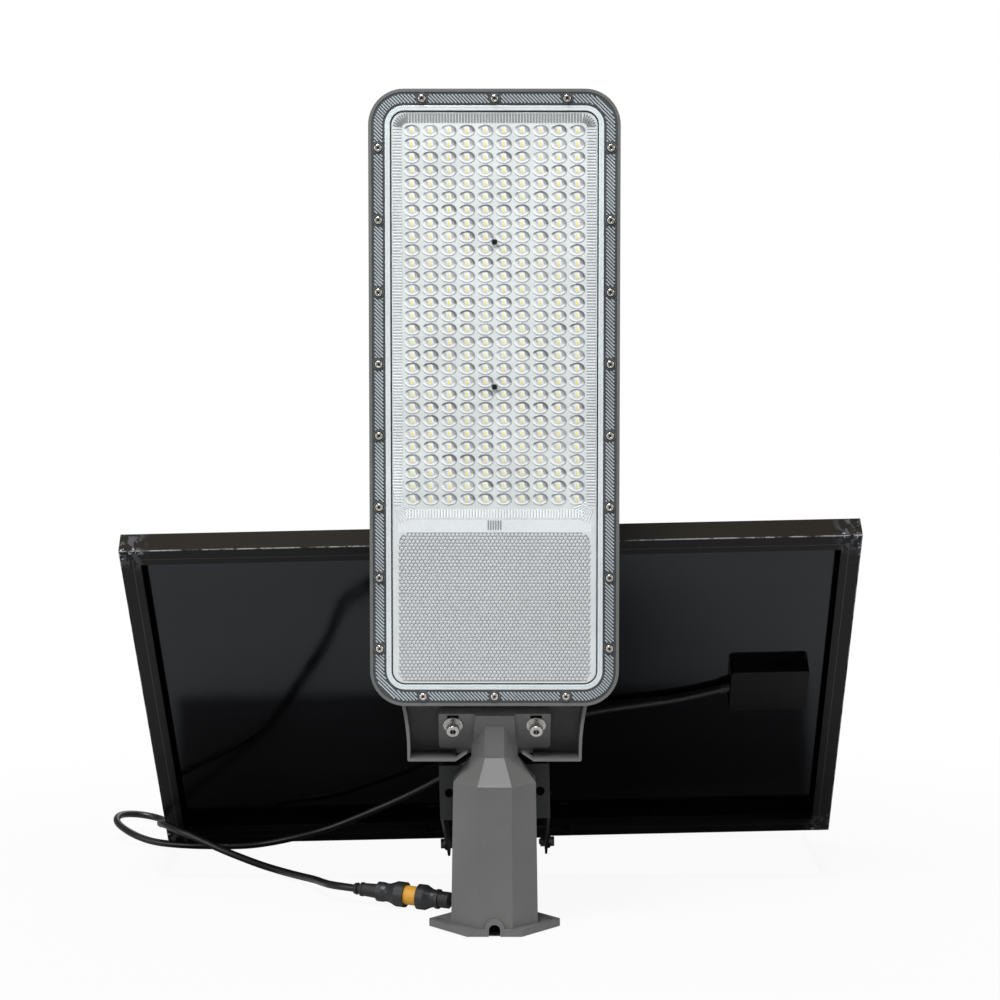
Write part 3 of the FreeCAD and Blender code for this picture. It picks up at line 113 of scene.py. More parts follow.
class CableSettings(bpy.types.PropertyGroup):
    """Size and colours of the cables and their connector."""
    diameter: length("Cable diameter", "Outside diameter of each cable", 0.0078)
    sheath_colour: colour("Sheath colour", "Rubber sheath", (0.007, 0.007, 0.0075))
    ring_colour: colour("Ring colour", "Seal ring between plug and socket", (0.76, 0.37, 0.034))


# ------------------------------------------------------------ shader arithmetic
def plug(given, target):
    """Link a value into a socket, or set the socket to a constant."""
    if isinstance(given, Value):
        target.id_data.links.new(given.socket, target)
    elif target.type == "RGBA":
        target.default_value = (*given, 1.0)
    else:
        target.default_value = given


class Value:
    """An output socket to reckon with: each operation adds one node to its tree."""

    def __init__(self, socket):
        self.socket = socket
        self.tree = socket.id_data

    def op(self, operation, *others):
        node = self.tree.nodes.new("ShaderNodeMath")
        node.operation = operation
        for given, target in zip((self, *others), node.inputs):
            plug(given, target)
        return Value(node.outputs[0])

    def __add__(self, other):
        return self.op("ADD", other)

    def __sub__(self, other):
        return self.op("SUBTRACT", other)

    def __mul__(self, other):
        return self.op("MULTIPLY", other)

    def __abs__(self):
        return self.op("ABSOLUTE")

    def most(self, other):
        return self.op("MAXIMUM", other)

    def least(self, other):
        return self.op("MINIMUM", other)

    def below(self, other):
        return self.op("LESS_THAN", other)

    def spread(self, low, high):
        """Run from low to high while the value runs from 0 to 1."""
        node = self.tree.nodes.new("ShaderNodeMapRange")
        plug(self, node.inputs["Value"])
        node.inputs["To Min"].default_value = low
        node.inputs["To Max"].default_value = high
        return Value(node.outputs["Result"])

    def rise(self, low, high):
        """0 below low, 1 above high, smooth between."""
        node = self.tree.nodes.new("ShaderNodeMapRange")
        node.interpolation_type = "SMOOTHSTEP"
        plug(self, node.inputs["Value"])
        node.inputs["From Min"].default_value = low
        node.inputs["From Max"].default_value = high
        return Value(node.outputs["Result"])

    def fall(self, low, high):
        """1 below low, 0 above high, smooth between."""
        return self.rise(high, low)


def mix(factor, a, b):
    node = factor.tree.nodes.new("ShaderNodeMix")
    node.data_type = "RGBA"
    for index, given in ((0, factor), (6, a), (7, b)):
        plug(given, node.inputs[index])
    return Value(node.outputs[2])


def noise(place, scale, detail=2.0, rough=0.5):
    node = place.tree.nodes.new("ShaderNodeTexNoise")
    for label, given in (("Vector", place), ("Scale", scale), ("Detail", detail),
                         ("Roughness", rough)):
        plug(given, node.inputs[label])
    return Value(node.outputs["Fac"])


def stretched(place, scale):
    node = place.tree.nodes.new("ShaderNodeMapping")
    plug(place, node.inputs["Vector"])
    node.inputs["Scale"].default_value = scale
    return Value(node.outputs["Vector"])


def parts(place):
    """The three coordinates of a place."""
    node = place.tree.nodes.new("ShaderNodeSeparateXYZ")
    plug(place, node.inputs[0])
    return [Value(socket) for socket in node.outputs]


def vector_op(place, operation, other, output):
    node = place.tree.nodes.new("ShaderNodeVectorMath")
    node.operation = operation
    plug(place, node.inputs[0])
    node.inputs[1].default_value = other
    return Value(node.outputs[output])


# ------------------------------------------------------------ shader groups
def new_group(name, inputs, outputs):
    """A group, its inputs as values, and its output sockets, which are all numbers."""
    group = bpy.data.node_groups.new(name, "ShaderNodeTree")
    for label, kind, value in inputs:
        made = group.interface.new_socket(label, in_out="INPUT", socket_type=kind)
        made.default_value = value
    for label in outputs:
        group.interface.new_socket(label, in_out="OUTPUT", socket_type="NodeSocketFloat")
    given = group.nodes.new("NodeGroupInput").outputs
    out = group.nodes.new("NodeGroupOutput").inputs
    return group, [Value(given[label]) for label, kind, value in inputs], out


def build_grain_group():
    """Fine texture of a coat or casting: a height, and a tint round 0.5."""
    group, (place, scale, patches), out = new_group(
        "surface_grain",
        [("Vector", "NodeSocketVector", (0, 0, 0)), ("Scale", "NodeSocketFloat", 900.0),
         ("Patches", "NodeSocketFloat", 14.0)],
        ["Height", "Tint"])
    fine = noise(place, scale, 3.0, 0.6)
    broad = noise(place, patches, 3.0, 0.55)
    plug(fine, out["Height"])
    plug(fine * 0.45 + broad * 0.55, out["Tint"])
    return group


def build_scratch_group():
    """Thin scuffs in three directions, 1 where the surface is scratched."""
    group, (place, amount), out = new_group(
        "scuffs",
        [("Vector", "NodeSocketVector", (0, 0, 0)), ("Amount", "NodeSocketFloat", 0.3)],
        ["Mask"])
    along, up, deep = [noise(stretched(place, scale), 1.0, 2.0, 0.6).rise(0.70, 0.78)
                       for scale in ((30, 400, 900), (700, 300, 26), (500, 40, 500))]
    patch = noise(place, 9.0, 4.0, 0.6).rise(0.48, 0.66)
    plug(along.most(up).most(deep) * patch * amount, out["Mask"])
    return group


def build_lens_group():
    """What one oval lens shows of the board and its diode, from the place in the cell, with
    painted shade and highlights.
    """
    group, (u, v, wobble), out = new_group(
        "lens_painted_refraction",
        [("Across", "NodeSocketFloat", 0.0), ("Up", "NodeSocketFloat", 0.0),
         ("Wobble", "NodeSocketFloat", 0.5)],
        ["Dark", "White", "Diode"])
    wobble = wobble - 0.5
    r = (u * u + v * v).op("SQRT")
    inside = r.fall(0.93, 1.02)
    ring = r.rise(0.50, 0.74) * inside
    # painted shade on the ring's upper arc, painted highlight on its lower arc, where light bends
    # through the lens
    shaded_upper_half = (u * 0.35 + v).rise(-0.25, 0.28)
    lower = (u * 0.20 + v).fall(-0.55, 0.05)
    slant = v * 0.22 + u
    # grey and white streaks: painted reflections inside the lens
    right = abs(slant - 0.52).fall(0.05, 0.17)
    left = abs(slant + 0.40).fall(0.06, 0.22) * 0.7
    bright = abs(slant - 0.24).fall(0.04, 0.12) * 0.45
    painted_reflection_streaks = right.most(left) * (v.rise(-0.45, 0.20) * inside)
    dark = (ring * shaded_upper_half).most(painted_reflection_streaks * 0.80)
    tall = abs(v + 0.10)
    wide = abs(wobble * 0.06 + u)
    # Dark is the painted shade, White the painted highlight
    plug(dark * (wobble * 1.4 + 0.95), out["Dark"])
    plug((ring * lower * 0.6).most(bright * inside), out["White"])
    plug(wide.fall(0.06, 0.12) * tall.fall(0.30, 0.40), out["Diode"])
    return group


def build_panel_place_group(settings):
    """Places on the panel: from its foot, its sides, its nearer end, and its rear face."""
    group, (place,), out = new_group(
        "panel_place", [("Vector", "NodeSocketVector", (0, 0, 0))],
        ["Up", "Side", "End", "Behind"])
    turn = Matrix.Rotation(-settings.roll, 3, "Y")
    sine, cosine = math.sin(settings.lean), math.cos(settings.lean)
    shifted = vector_op(place, "SUBTRACT", tuple(settings.foot), "Vector")
    across, up, behind = [
        vector_op(shifted, "DOT_PRODUCT", turn @ Vector(axis), "Value")
        for axis in ((1, 0, 0), (0, -sine, cosine), (0, -cosine, -sine))]
    plug(up, out["Up"])
    plug(abs(across) * -1.0 + settings.width / 2, out["Side"])
    plug(up.least(up * -1.0 + settings.height), out["End"])
    plug(behind, out["Behind"])
    return group


GROUPS = {}


def placed(place, key, **values):
    """Outputs of a shared group placed in a material, its inputs set or linked."""
    node = place.tree.nodes.new("ShaderNodeGroup")
    node.node_tree = GROUPS[key]
    if "Vector" in node.inputs:
        plug(place, node.inputs["Vector"])
    for label, given in values.items():
        plug(given, node.inputs[label])
    return {socket.name: Value(socket) for socket in node.outputs}


# ------------------------------------------------------------ materials
def new_material(name, roughness, metallic=0.0, **constants):
    material = bpy.data.materials.new(name)
    material.use_nodes = True
    nodes = material.node_tree.nodes
    inputs = nodes["Principled BSDF"].inputs
    inputs["Roughness"].default_value = roughness
    inputs["Metallic"].default_value = metallic
    for label, value in constants.items():
        inputs[label.replace("_", " ")].default_value = value
    place = Value(nodes.new("ShaderNodeTexCoord").outputs["Object"])
    return material, inputs, place


def add_bump(inputs, height, depth, strength=1.0):
    node = height.tree.nodes.new("ShaderNodeBump")
    node.inputs["Strength"].default_value = strength
    node.inputs["Distance"].default_value = depth
    plug(height, node.inputs["Height"])
    plug(Value(node.outputs["Normal"]), inputs["Normal"])


def scaled(shade, k):
    return tuple(min(1.0, c * k) for c in shade)


def coated(name, shade, roughness, metallic=0.0, grain=900.0, depth=0.0001, vary=0.25,
           patches=14.0, scuffs=0.0, scuff_colour=(0.5, 0.5, 0.5), **constants):
    """Plain surface with its own grain, uneven tint and, where asked, scuffs."""
    material, inputs, place = new_material(name, roughness, metallic, **constants)
    coat = placed(place, "grain", Scale=grain, Patches=patches)
    base = mix(coat["Tint"].rise(0.30, 0.70), scaled(shade, 1 - vary), scaled(shade, 1 + vary))
    plug(coat["Tint"].spread(max(0.04, roughness - 0.10), min(1.0, roughness + 0.10)),
         inputs["Roughness"])
    if scuffs:
        base = mix(placed(place, "scratch", Amount=scuffs)["Mask"], base, scuff_colour)
    plug(base, inputs["Base Color"])
    add_bump(inputs, coat["Height"], depth)
    return material


def panel_frame_material(settings):
    """Anodised members, pale in patches along the outer edges and scuffed grey at the corners."""
    material, inputs, place = new_material("black_anodised", 0.34, Specular_IOR_Level=0.20)
    shade = tuple(settings.frame_colour)
    where = placed(place, "panel_place")
    side, end, behind = where["Side"], where["End"], where["Behind"]
    coat = placed(place, "grain", Scale=500.0, Patches=7.0)
    base = mix(coat["Tint"].rise(0.30, 0.70), scaled(shade, 0.6), scaled(shade, 1.5))
    top_wall = end.below(0.0006) * where["Up"].rise(0.30, 0.40)
    base = mix(top_wall, base, (0.012, 0.0095, 0.0065))
    depth = abs(behind)
    inward = side.least(end)
    rim = depth.most(inward)
    # pale in broken patches along the rear face's outer edges
    edge_patches = noise(place, 55.0, 5.0, 0.7).rise(0.42, 0.56)
    pale = rim.fall(0.0004, 0.0012) * edge_patches * 0.55
    near_corner = side.most(end).fall(0.012, 0.032)
    torn = noise(stretched(place, (150, 60, 110)), 1.0, 3.0, 0.6).rise(0.50, 0.56)
    scuff = near_corner * torn * 0.75
    chip = (noise(place, 240.0, 2.0, 0.6).rise(0.60, 0.64) * near_corner
            * rim.fall(0.002, 0.006))
    line = abs(inward - 0.0125).fall(0.0002, 0.0005) * depth.below(0.0012)
    base = mix(placed(place, "scratch", Amount=0.6)["Mask"], base, (0.16, 0.16, 0.155))
    base = mix(scuff, base, (0.075, 0.077, 0.085))
    base = mix(line * 0.8, base, (0.055, 0.055, 0.058))
    base = mix(pale, base, (0.50, 0.52, 0.53))
    base = mix(chip * 0.85, base, (0.46, 0.50, 0.52))
    plug(base, inputs["Base Color"])
    plug(scuff.most(pale) * 0.25 + (coat["Tint"] * 0.16 + 0.26), inputs["Roughness"])
    add_bump(inputs, coat["Height"], 0.00004)
    return material


def cast_material(shade):
    """Powder coat over a casting: fine speckle, slight orange peel, small pale chips."""
    material, inputs, place = new_material("cast_powder_coat", 0.36, Specular_IOR_Level=0.62)
    coat = placed(place, "grain", Scale=1500.0, Patches=9.0)
    speckle = noise(place, 2600.0, 1.0).rise(0.56, 0.72)
    base = mix(coat["Tint"].rise(0.32, 0.68), scaled(shade, 0.84), scaled(shade, 1.14))
    base = mix(speckle * 0.35, base, scaled(shade, 1.75))
    base = mix(placed(place, "scratch", Amount=0.22)["Mask"], base, (0.42, 0.42, 0.41))
    plug(base, inputs["Base Color"])
    plug(coat["Tint"].spread(0.27, 0.44), inputs["Roughness"])
    add_bump(inputs, coat["Height"], 0.00022)
    return material


def cover_material(settings):
    """Clear moulded cover: the board behind it, with one diode's image and painted shade and
    highlights in each lens.
    """
    material, inputs, place = new_material(
        "moulded_cover", 0.16, Coat_Weight=0.6, Coat_Roughness=0.06)
    x, _, z = parts(place)

    def cell(value, pitch, shift, half):
        """Place in the lens's own cell, -1 to 1 from edge to edge of the lens."""
        return ((value * (1 / pitch) + shift).op("FRACT") - 0.5) * (pitch / half)

    columns_shift = 10.0 + (0.5 if settings.lens_columns % 2 else 0.0)
    rows_shift = 80.5 - settings.lens_centre_z / settings.lens_pitch_z
    image = placed(
        place, "lens",
        Across=cell(x, settings.lens_pitch_x, columns_shift, settings.lens_half_x),
        Up=cell(z, settings.lens_pitch_z, rows_shift, settings.lens_half_z),
        Wobble=noise(place, 42.0, 1.0))
    half_w = settings.lens_pitch_x * settings.lens_columns / 2
    half_h = settings.lens_pitch_z * settings.lens_rows / 2
    field = abs(x).below(half_w) * abs(z - settings.lens_centre_z).below(half_h)
    base = mix(noise(place, 25.0, 3.0).rise(0.3, 0.7), scaled(settings.cover_colour, 0.93),
               scaled(settings.cover_colour, 1.05))
    # painted highlight, then painted shade, then the diode's image in each lens
    base = mix(image["White"] * field, base, (0.93, 0.94, 0.93))
    base = mix(image["Dark"] * field * 0.86, base, (0.12, 0.125, 0.125))
    base = mix(image["Diode"] * field, base, (0.88, 0.72, 0.09))
    plug(base, inputs["Base Color"])
    add_bump(inputs, noise(place, 260.0, 2.0), 0.00005)
    return material


def backsheet_material(shade):
    """Glossy film over the cells, with faint waves where it follows them."""
    material, inputs, place = new_material(
        "back_film", 0.08, Specular_IOR_Level=0.5, Specular_Tint=(0.84, 0.90, 1.0, 1.0))
    waves = noise(stretched(place, (7, 9, 6)), 1.0, 3.0)
    smear = noise(stretched(place, (3, 24, 20)), 1.0, 4.0, 0.6)
    base = mix(smear.rise(0.35, 0.75), scaled(shade, 0.3), scaled(shade, 0.8))
    base = mix(placed(place, "scratch", Amount=0.06)["Mask"], base, (0.12, 0.12, 0.12))
    plug(base, inputs["Base Color"])
    plug(smear.spread(0.05, 0.13), inputs["Roughness"])
    add_bump(inputs, waves, 0.0016, 0.25)
    return material


def cell_material():
    """Silicon cells with their silver fingers and busbars behind the glass."""
    material, inputs, place = new_material("silicon_cells", 0.32, 0.1)
    x, _, z = parts(place)
    columns = (x * 12.7 + 20.0).op("FRACT")
    rows = (z * 11.9 + 20.0).op("FRACT")
    fingers = (z * 520.0).op("FRACT").below(0.12) * 0.35
    bars = (x * 38.1 + 20.5).op("FRACT").below(0.05)
    tint = placed(place, "grain", Scale=60.0, Patches=16.0)["Tint"]
    base = mix(tint, (0.004, 0.006, 0.020), (0.012, 0.018, 0.055))
    base = mix(bars.most(fingers), base, (0.35, 0.36, 0.38))
    base = mix(columns.below(0.03).most(rows.below(0.03)), base, (0.010, 0.010, 0.012))
    plug(base, inputs["Base Color"])
    return material


def glass_material():
    """Tempered glass over the cells."""
    material, inputs, place = new_material(
        "tempered_glass", 0.06, Transmission_Weight=1.0, IOR=1.5,
        Base_Color=(0.93, 0.97, 0.96, 1.0))
    add_bump(inputs, noise(place, 700.0, 2.0), 0.00003)
    return material


def sleeve_material():
    """Shrink sleeve on the battery cells, with a plain darker band."""
    material, inputs, place = new_material("cell_sleeve", 0.3, Coat_Weight=0.4)
    band = abs(parts(place)[0]).rise(0.062, 0.064)
    tint = placed(place, "grain", Scale=300.0, Patches=30.0)["Tint"]
    base = mix(tint, (0.010, 0.07, 0.16), (0.016, 0.10, 0.22))
    plug(mix(band, base, (0.02, 0.02, 0.022)), inputs["Base Color"])
    return material


def board_material():
    """Solder mask with copper runs showing through."""
    material, inputs, place = new_material("solder_mask", 0.35, Coat_Weight=0.3)
    brick = place.tree.nodes.new("ShaderNodeTexBrick")
    plug(stretched(place, (120, 120, 120)), brick.inputs["Vector"])
    for label, shade in (("Color1", (0.004, 0.05, 0.018)), ("Color2", (0.006, 0.065, 0.024)),
                         ("Mortar", (0.012, 0.11, 0.05))):
        plug(shade, brick.inputs[label])
    plug(Value(brick.outputs["Color"]), inputs["Base Color"])
    return material


FINISHES = {
    "cast": "mounting_arm lamp_housing",
    "frame_coat": "front_frame",
    "bracket": "panel_bracket hinge_plate",
    "steel": ("frame_screws pole_clamp_screws bracket_bolts bracket_washers board_screws "
              "controller_screws rail_bolts rail_nuts pivot_bolts pivot_nuts pivot_washers "
              "battery_straps"),
    "bright_steel": "arm_bolts arm_spring_washers arm_flat_washers",
    "alloy": "corner_keys",
    "black_screw_and_socket_shade": "lens_screws",
    "moulding": ("lens_spacers light_sensor battery_tray controller_parts lamp_gland gland_nut "
                 "breather_vent junction_terminals"),
    "seal": "lens_seal frame_sealant",
    "board_white": "led_board battery_cover",
    "phosphor": "led_chips",
    "sleeve": "battery_cells",
    "circuit": "controller_board",
    "panel_frame": "bottom_rail top_rail left_stile right_stile",
    "glass": "solar_glass",
    "silicon": "solar_cells",
    "film": "backsheet",
    "box_plastic": "junction_box_body junction_box_lid",
    "rubber": "junction_gland plug_boot socket_boot",
    "plug_plastic": "plug_body socket_body",
    "ring": "plug_seal_ring",
}


def moulded(name, shade, roughness, vary, gloss):
    """Face of the clear cover: hardly any grain under a glossy skin."""
    return coated(name, shade, roughness, vary=vary, grain=300.0, depth=0.00003,
                  Coat_Weight=gloss)


def build_materials(scene):
    head, panel, cable = scene.lamp_head, scene.lamp_panel, scene.lamp_cable
    GROUPS["grain"] = build_grain_group()
    GROUPS["scratch"] = build_scratch_group()
    GROUPS["lens"] = build_lens_group()
    GROUPS["panel_place"] = build_panel_place_group(panel)
    return {
        "cast": cast_material(tuple(head.cast_colour)),
        "frame_coat": coated("frame_coat", tuple(head.frame_colour), 0.5, grain=1600.0,
                             depth=0.00012),
        # pale rib colour: a painted highlight where the slanted ribs catch the light
        "rib": coated("rib_painted_highlight", (0.38, 0.42, 0.44), 0.42, grain=1200.0, vary=0.18),
        "cover": cover_material(head),
        "cover_rim": moulded("cover_rim", (0.60, 0.65, 0.665), 0.22, 0.08, 0.5),
        "flute": moulded("cover_flutes", (0.60, 0.63, 0.64), 0.2, 0.10, 0.6),
        # darker moulding: painted shade between flutes and ribs, on the top and corner flutes,
        # behind the prism window
        "flute_dark": moulded("cover_shade", (0.23, 0.245, 0.25), 0.22, 0.06, 0.4),
        "flute_bright": moulded("cover_bright", (0.80, 0.82, 0.83), 0.2, 0.05, 0.6),
        "pale": moulded("cover_pale", (0.665, 0.70, 0.715), 0.22, 0.05, 0.5),
        "prism": moulded("window_prisms", (0.51, 0.53, 0.54), 0.28, 0.03, 0.3),
        # near black: painted shade in the wells round the screw heads and in the arm bolts'
        # sockets
        "boss": coated("boss_painted_shade", (0.016, 0.018, 0.020), 0.5, grain=1200.0),
        "boss_edge": coated("boss_edges", (0.14, 0.15, 0.155), 0.42, grain=1200.0),
        "warm_steel": coated("screw_domes", (0.62, 0.59, 0.54), 0.22, metallic=1.0,
                             grain=1400.0),
        "bracket": coated("bracket_paint", tuple(panel.bracket_colour), 0.42, scuffs=0.25,
                          scuff_colour=(0.16, 0.16, 0.15)),
        "panel_frame": panel_frame_material(panel),
        "film": backsheet_material(tuple(panel.film_colour)),
        "silicon": cell_material(),
        "glass": glass_material(),
        "steel": coated("stainless", (0.42, 0.40, 0.37), 0.32, metallic=1.0, grain=1400.0,
                        vary=0.22),
        "bright_steel": coated("plated_steel", (0.58, 0.57, 0.55), 0.26, metallic=1.0,
                               grain=1300.0, vary=0.18),
        # blackened lens screws, and painted shade in the frame screws' sockets
        "black_screw_and_socket_shade": coated("blackened_screw_and_socket_shade", (0.055, 0.055, 0.055), 0.30, metallic=0.9),
        "alloy": coated("mill_alloy", (0.55, 0.55, 0.55), 0.4, metallic=1.0),
        "seal": coated("seal_rubber", (0.010, 0.010, 0.010), 0.7, depth=0.00005),
        "rubber": coated("boot_rubber", (0.013, 0.013, 0.0135), 0.48, grain=800.0),
        "cable": coated("cable_sheath", tuple(cable.sheath_colour), 0.30, grain=1000.0, vary=0.3,
                        patches=30.0, scuffs=0.12, scuff_colour=(0.10, 0.10, 0.10)),
        "plug_plastic": coated("plug_plastic", (0.020, 0.021, 0.023), 0.40, vary=0.3),
        "box_plastic": coated("box_plastic", (0.0035, 0.0035, 0.004), 0.30, grain=1500.0,
                              vary=0.3, patches=20.0, depth=0.00006, Specular_IOR_Level=0.16),
        "ring": coated("seal_ring", tuple(cable.ring_colour), 0.42, grain=500.0, vary=0.07),
        "moulding": coated("black_moulding", (0.012, 0.012, 0.013), 0.45),
        "board_white": coated("white_board", (0.72, 0.73, 0.73), 0.35, vary=0.05, depth=0.00002),
        "phosphor": coated("phosphor", (0.90, 0.72, 0.12), 0.4, vary=0.1, grain=2000.0),
        "sleeve": sleeve_material(),
        "circuit": board_material(),
    }


MATERIALS = {}


def dress(obj, key):
    obj.data.materials.clear()
    obj.data.materials.append(MATERIALS[key])


# ------------------------------------------------------------ mesh helpers
# A form is a pair of lists, its vertices and its faces. A shape is a rounded rectangle
# facing the lens side: half width, foot, top and corner radius.
def make_piece(name, form, key, smooth=False):
    """An object of the lamp head from a form."""
    verts, faces = form
    mesh = bpy.data.meshes.new(name)
    mesh.from_pydata(verts, [], faces)
    mesh.validate()
    mesh.update()
    if smooth:
        mesh.shade_smooth()
    obj = bpy.data.objects.new(name, mesh)
    bpy.context.scene.collection.objects.link(obj)
    dress(obj, key)
    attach(obj, "lamp")
    return obj


def inset(shape, by):
    half_w, low_z, high_z, r = shape
    return half_w - by, low_z + by, high_z - by, r - by


def outline(shape, y, steps=10):
    """Points round a shape at depth y, anticlockwise seen from the lens side."""
    half_w, low_z, high_z, r = shape
    points = []
    for cx, cz, first in ((half_w - r, high_z - r, 0), (-half_w + r, high_z - r, 90),
                          (-half_w + r, low_z + r, 180), (half_w - r, low_z + r, 270)):
        for i in range(steps + 1):
            a = math.radians(first + 90 * i / steps)
            points.append((cx + r * math.cos(a), y, cz + r * math.sin(a)))
    return points


def oval(cx, cz, half_x, half_z, y, count, start=0):
    """Points round an oval at depth y, the first one at the start angle in degrees."""
    turns = [math.radians(start) + 2 * math.pi * i / count for i in range(count)]
    return [(cx + half_x * math.cos(a), y, cz + half_z * math.sin(a)) for a in turns]


def ring_distance(x, z, shape):
    """Distance outside a shape, negative inside."""
    half_w, low_z, high_z, r = shape
    qx = np.abs(x) - (half_w - r)
    qz = np.abs(z - (low_z + high_z) / 2) - ((high_z - low_z) / 2 - r)
    return np.hypot(np.maximum(qx, 0), np.maximum(qz, 0)) + np.minimum(np.maximum(qx, qz), 0) - r


def add_loops(form, loops, tip=None):
    """Closed loops of equal length joined by quads, and a fan to the tip if there is one."""
    verts, faces = form
    count = len(loops[0])
    for row, loop in enumerate(loops):
        b = len(verts)
        a = b - count
        verts.extend(loop)
        for i in range(count if row else 0):
            k = (i + 1) % count
            faces.append((a + i, a + k, b + k, b + i))
    if tip:
        verts.append(tip)
        faces.extend((b + i, b + (i + 1) % count, b + count) for i in range(count))


def add_rib(form, a, b, half, base_y, rise, flat=0.35):
    """Rib from a to b, given as (x, z), with sloped sides and a narrow flat top."""
    verts, faces = form
    a, b = Vector(a), Vector(b)
    d = (b - a).normalized()
    n = Vector((-d.y, d.x))
    f = len(verts)
    for p in (a, b):
        for side, y in ((-1, base_y), (-flat, base_y - rise), (flat, base_y - rise), (1, base_y)):
            q = p + n * half * side
            verts.append((q.x, y, q.y))
    faces.extend([(f, f + 1, f + 5, f + 4), (f + 1, f + 2, f + 6, f + 5),
                  (f + 2, f + 3, f + 7, f + 6), (f, f + 3, f + 2, f + 1),
                  (f + 4, f + 5, f + 6, f + 7)])


def add_turned(form, cx, cz, base_y, profile, count=28):
    """Turned body round the y axis at (cx, cz): profile is (radius, depth) in millimetres."""
    add_loops(form, [oval(cx, cz, r * MM, r * MM, base_y + y * MM, count) for r, y in profile])


# ------------------------------------------------------------ frame details
BOSS_LIFT = 0.4 * MM
BOSS_REACH = 6.2 * MM
FRAME_RADIUS, FRAME_BAND, RIB_MARGIN = 31 * MM, 12.4 * MM, 2.1 * MM
RIB_SAMPLE, RIB_FEWEST, RIB_RISE = 0.25 * MM, 6, 0.75 * MM
HEAD_PLATE_AXIS = np.array((0.0, -math.sqrt(0.75), -0.5))
DOME = ((3.60, 0.30), (3.55, -0.05), (3.20, -0.40), (2.60, -0.58), (1.95, -0.60),
        (1.66, -0.45), (1.62, 0.40))
SOCKET = ((1.64, 0.55), (1.0, 0.62), (0.05, 0.62))
STAMPED_RING = ((4.75, 0.0), (4.82, -0.14), (5.30, -0.14), (5.38, 0.0))
INNER_WELL = ((3.40, -0.05), (4.80, -0.05))
OUTER_WELL = ((5.34, -0.05), (5.60, -0.03), (6.10, 0.75))


def screw_spots(face_y):
    """Centre (x, z) of each screw in the front frame."""
    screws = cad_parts["frame_screws"].data
    co = np.array([v.co for v in screws.vertices])
    heads = co[co[:, 1] < face_y - 1.0 * MM]
    centres = []
    for x, z in heads[:, [0, 2]]:
        near = [c for c in centres if math.hypot(c[0] / c[2] - x, c[1] / c[2] - z) < 6 * MM]
        if near:
            near[0][0] += x
            near[0][1] += z
            near[0][2] += 1
        else:
            centres.append([x, z, 1])
    return np.array([(c[0] / c[2], c[1] / c[2]) for c in centres])


def build_screw_details():
    """Domed heads round each driven socket, painted shade in each socket and round each head, and
    the ring stamped on each boss.
    """
    head_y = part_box("frame_screws")[0].y
    boss_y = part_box("front_frame")[0].y
    domes, sockets, rings, wells = ([], []), ([], []), ([], []), ([], [])
    for x, z in screw_spots(boss_y + BOSS_LIFT):
        add_turned(domes, x, z, head_y, DOME)
        # dark cup in the socket: painted shade in the recess
        add_turned(sockets, x, z, head_y, SOCKET, 6)
        add_turned(rings, x, z, boss_y, STAMPED_RING)
        # dark wells round the head: painted shade
        add_turned(wells, x, z, boss_y, INNER_WELL)
        add_turned(wells, x, z, boss_y, OUTER_WELL)
    make_piece("screw_domes", domes, "warm_steel", smooth=True)
    make_piece("screw_sockets", sockets, "black_screw_and_socket_shade")
    make_piece("boss_rings", rings, "boss_edge")
    make_piece("boss_wells_painted_shade", wells, "boss")


def build_bolt_sockets():
    """Dark hexagon cups in the two bolts of the head plate: painted shade in their sockets."""
    cups = [], []
    points = np.array([tuple(v.co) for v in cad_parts["arm_bolts"].data.vertices])
    axis = HEAD_PLATE_AXIS
    side_way = np.array((1.0, 0.0, 0.0))
    up_way = np.cross(side_way, axis)
    for side in (-1, 1):
        bolt = points[points[:, 0] * side > 0]
        along = bolt @ axis
        on_rim = along > along.max() - 0.1 * MM
        centre = (bolt[on_rim].min(axis=0) + bolt[on_rim].max(axis=0)) / 2
        radial = np.linalg.norm((bolt - centre) - np.outer((bolt - centre) @ axis, axis), axis=1)
        flat_r = radial[on_rim].min()
        inner = along[(radial < flat_r * 1.05) & (along < along.max() - 1.0 * MM)]
        depth = along.max() - inner.max() - 0.05 * MM
        turns = [math.radians(60 * i + 30) for i in range(6)]
        add_loops(cups, [
            [tuple(centre - axis * down
                   + (side_way * math.cos(a) + up_way * math.sin(a)) * flat_r * part)
             for a in turns]
            for part, down in ((0.97, 0.15 * MM), (0.97, depth), (0.02, depth))])
    make_piece("bolt_sockets", cups, "boss")


def build_frame_ribs(settings):
    """Slanted ribs moulded on the screwed frame, broken at each screw boss, pale with a painted
    highlight.
    """
    low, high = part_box("front_frame")
    shape = high.x, low.z, high.z, FRAME_RADIUS
    face_y = low.y + BOSS_LIFT
    pitch = settings.rib_pitch
    spots = screw_spots(face_y)
    along = np.array((math.sqrt(0.5), -math.sqrt(0.5)))
    across = np.array((math.sqrt(0.5), math.sqrt(0.5)))
    centre = np.array((0.0, (low.z + high.z) / 2))
    reach = math.hypot(high.x, (high.z - low.z) / 2)
    t = np.arange(-reach, reach, RIB_SAMPLE)
    ribs = [], []
    for k in range(-int(reach / pitch), int(reach / pitch) + 1):
        p = centre + across * (k * pitch) + t[:, None] * along
        outside = ring_distance(p[:, 0], p[:, 1], shape)
        inside = ring_distance(p[:, 0], p[:, 1], inset(shape, FRAME_BAND))
        away = np.min(np.hypot(p[:, 0, None] - spots[:, 0], p[:, 1, None] - spots[:, 1]), axis=1)
        good = (outside < -RIB_MARGIN) & (inside > RIB_MARGIN) & (away > BOSS_REACH)
        edges = np.flatnonzero(np.diff(np.concatenate(([0], good.astype(int), [0]))))
        for a, b in zip(edges[::2], edges[1::2]):
            if b - a > RIB_FEWEST:
                add_rib(ribs, p[a], p[b - 1], pitch * 0.30, face_y + 0.02 * MM, RIB_RISE, 0.45)
    make_piece("frame_ribs", ribs, "rib")


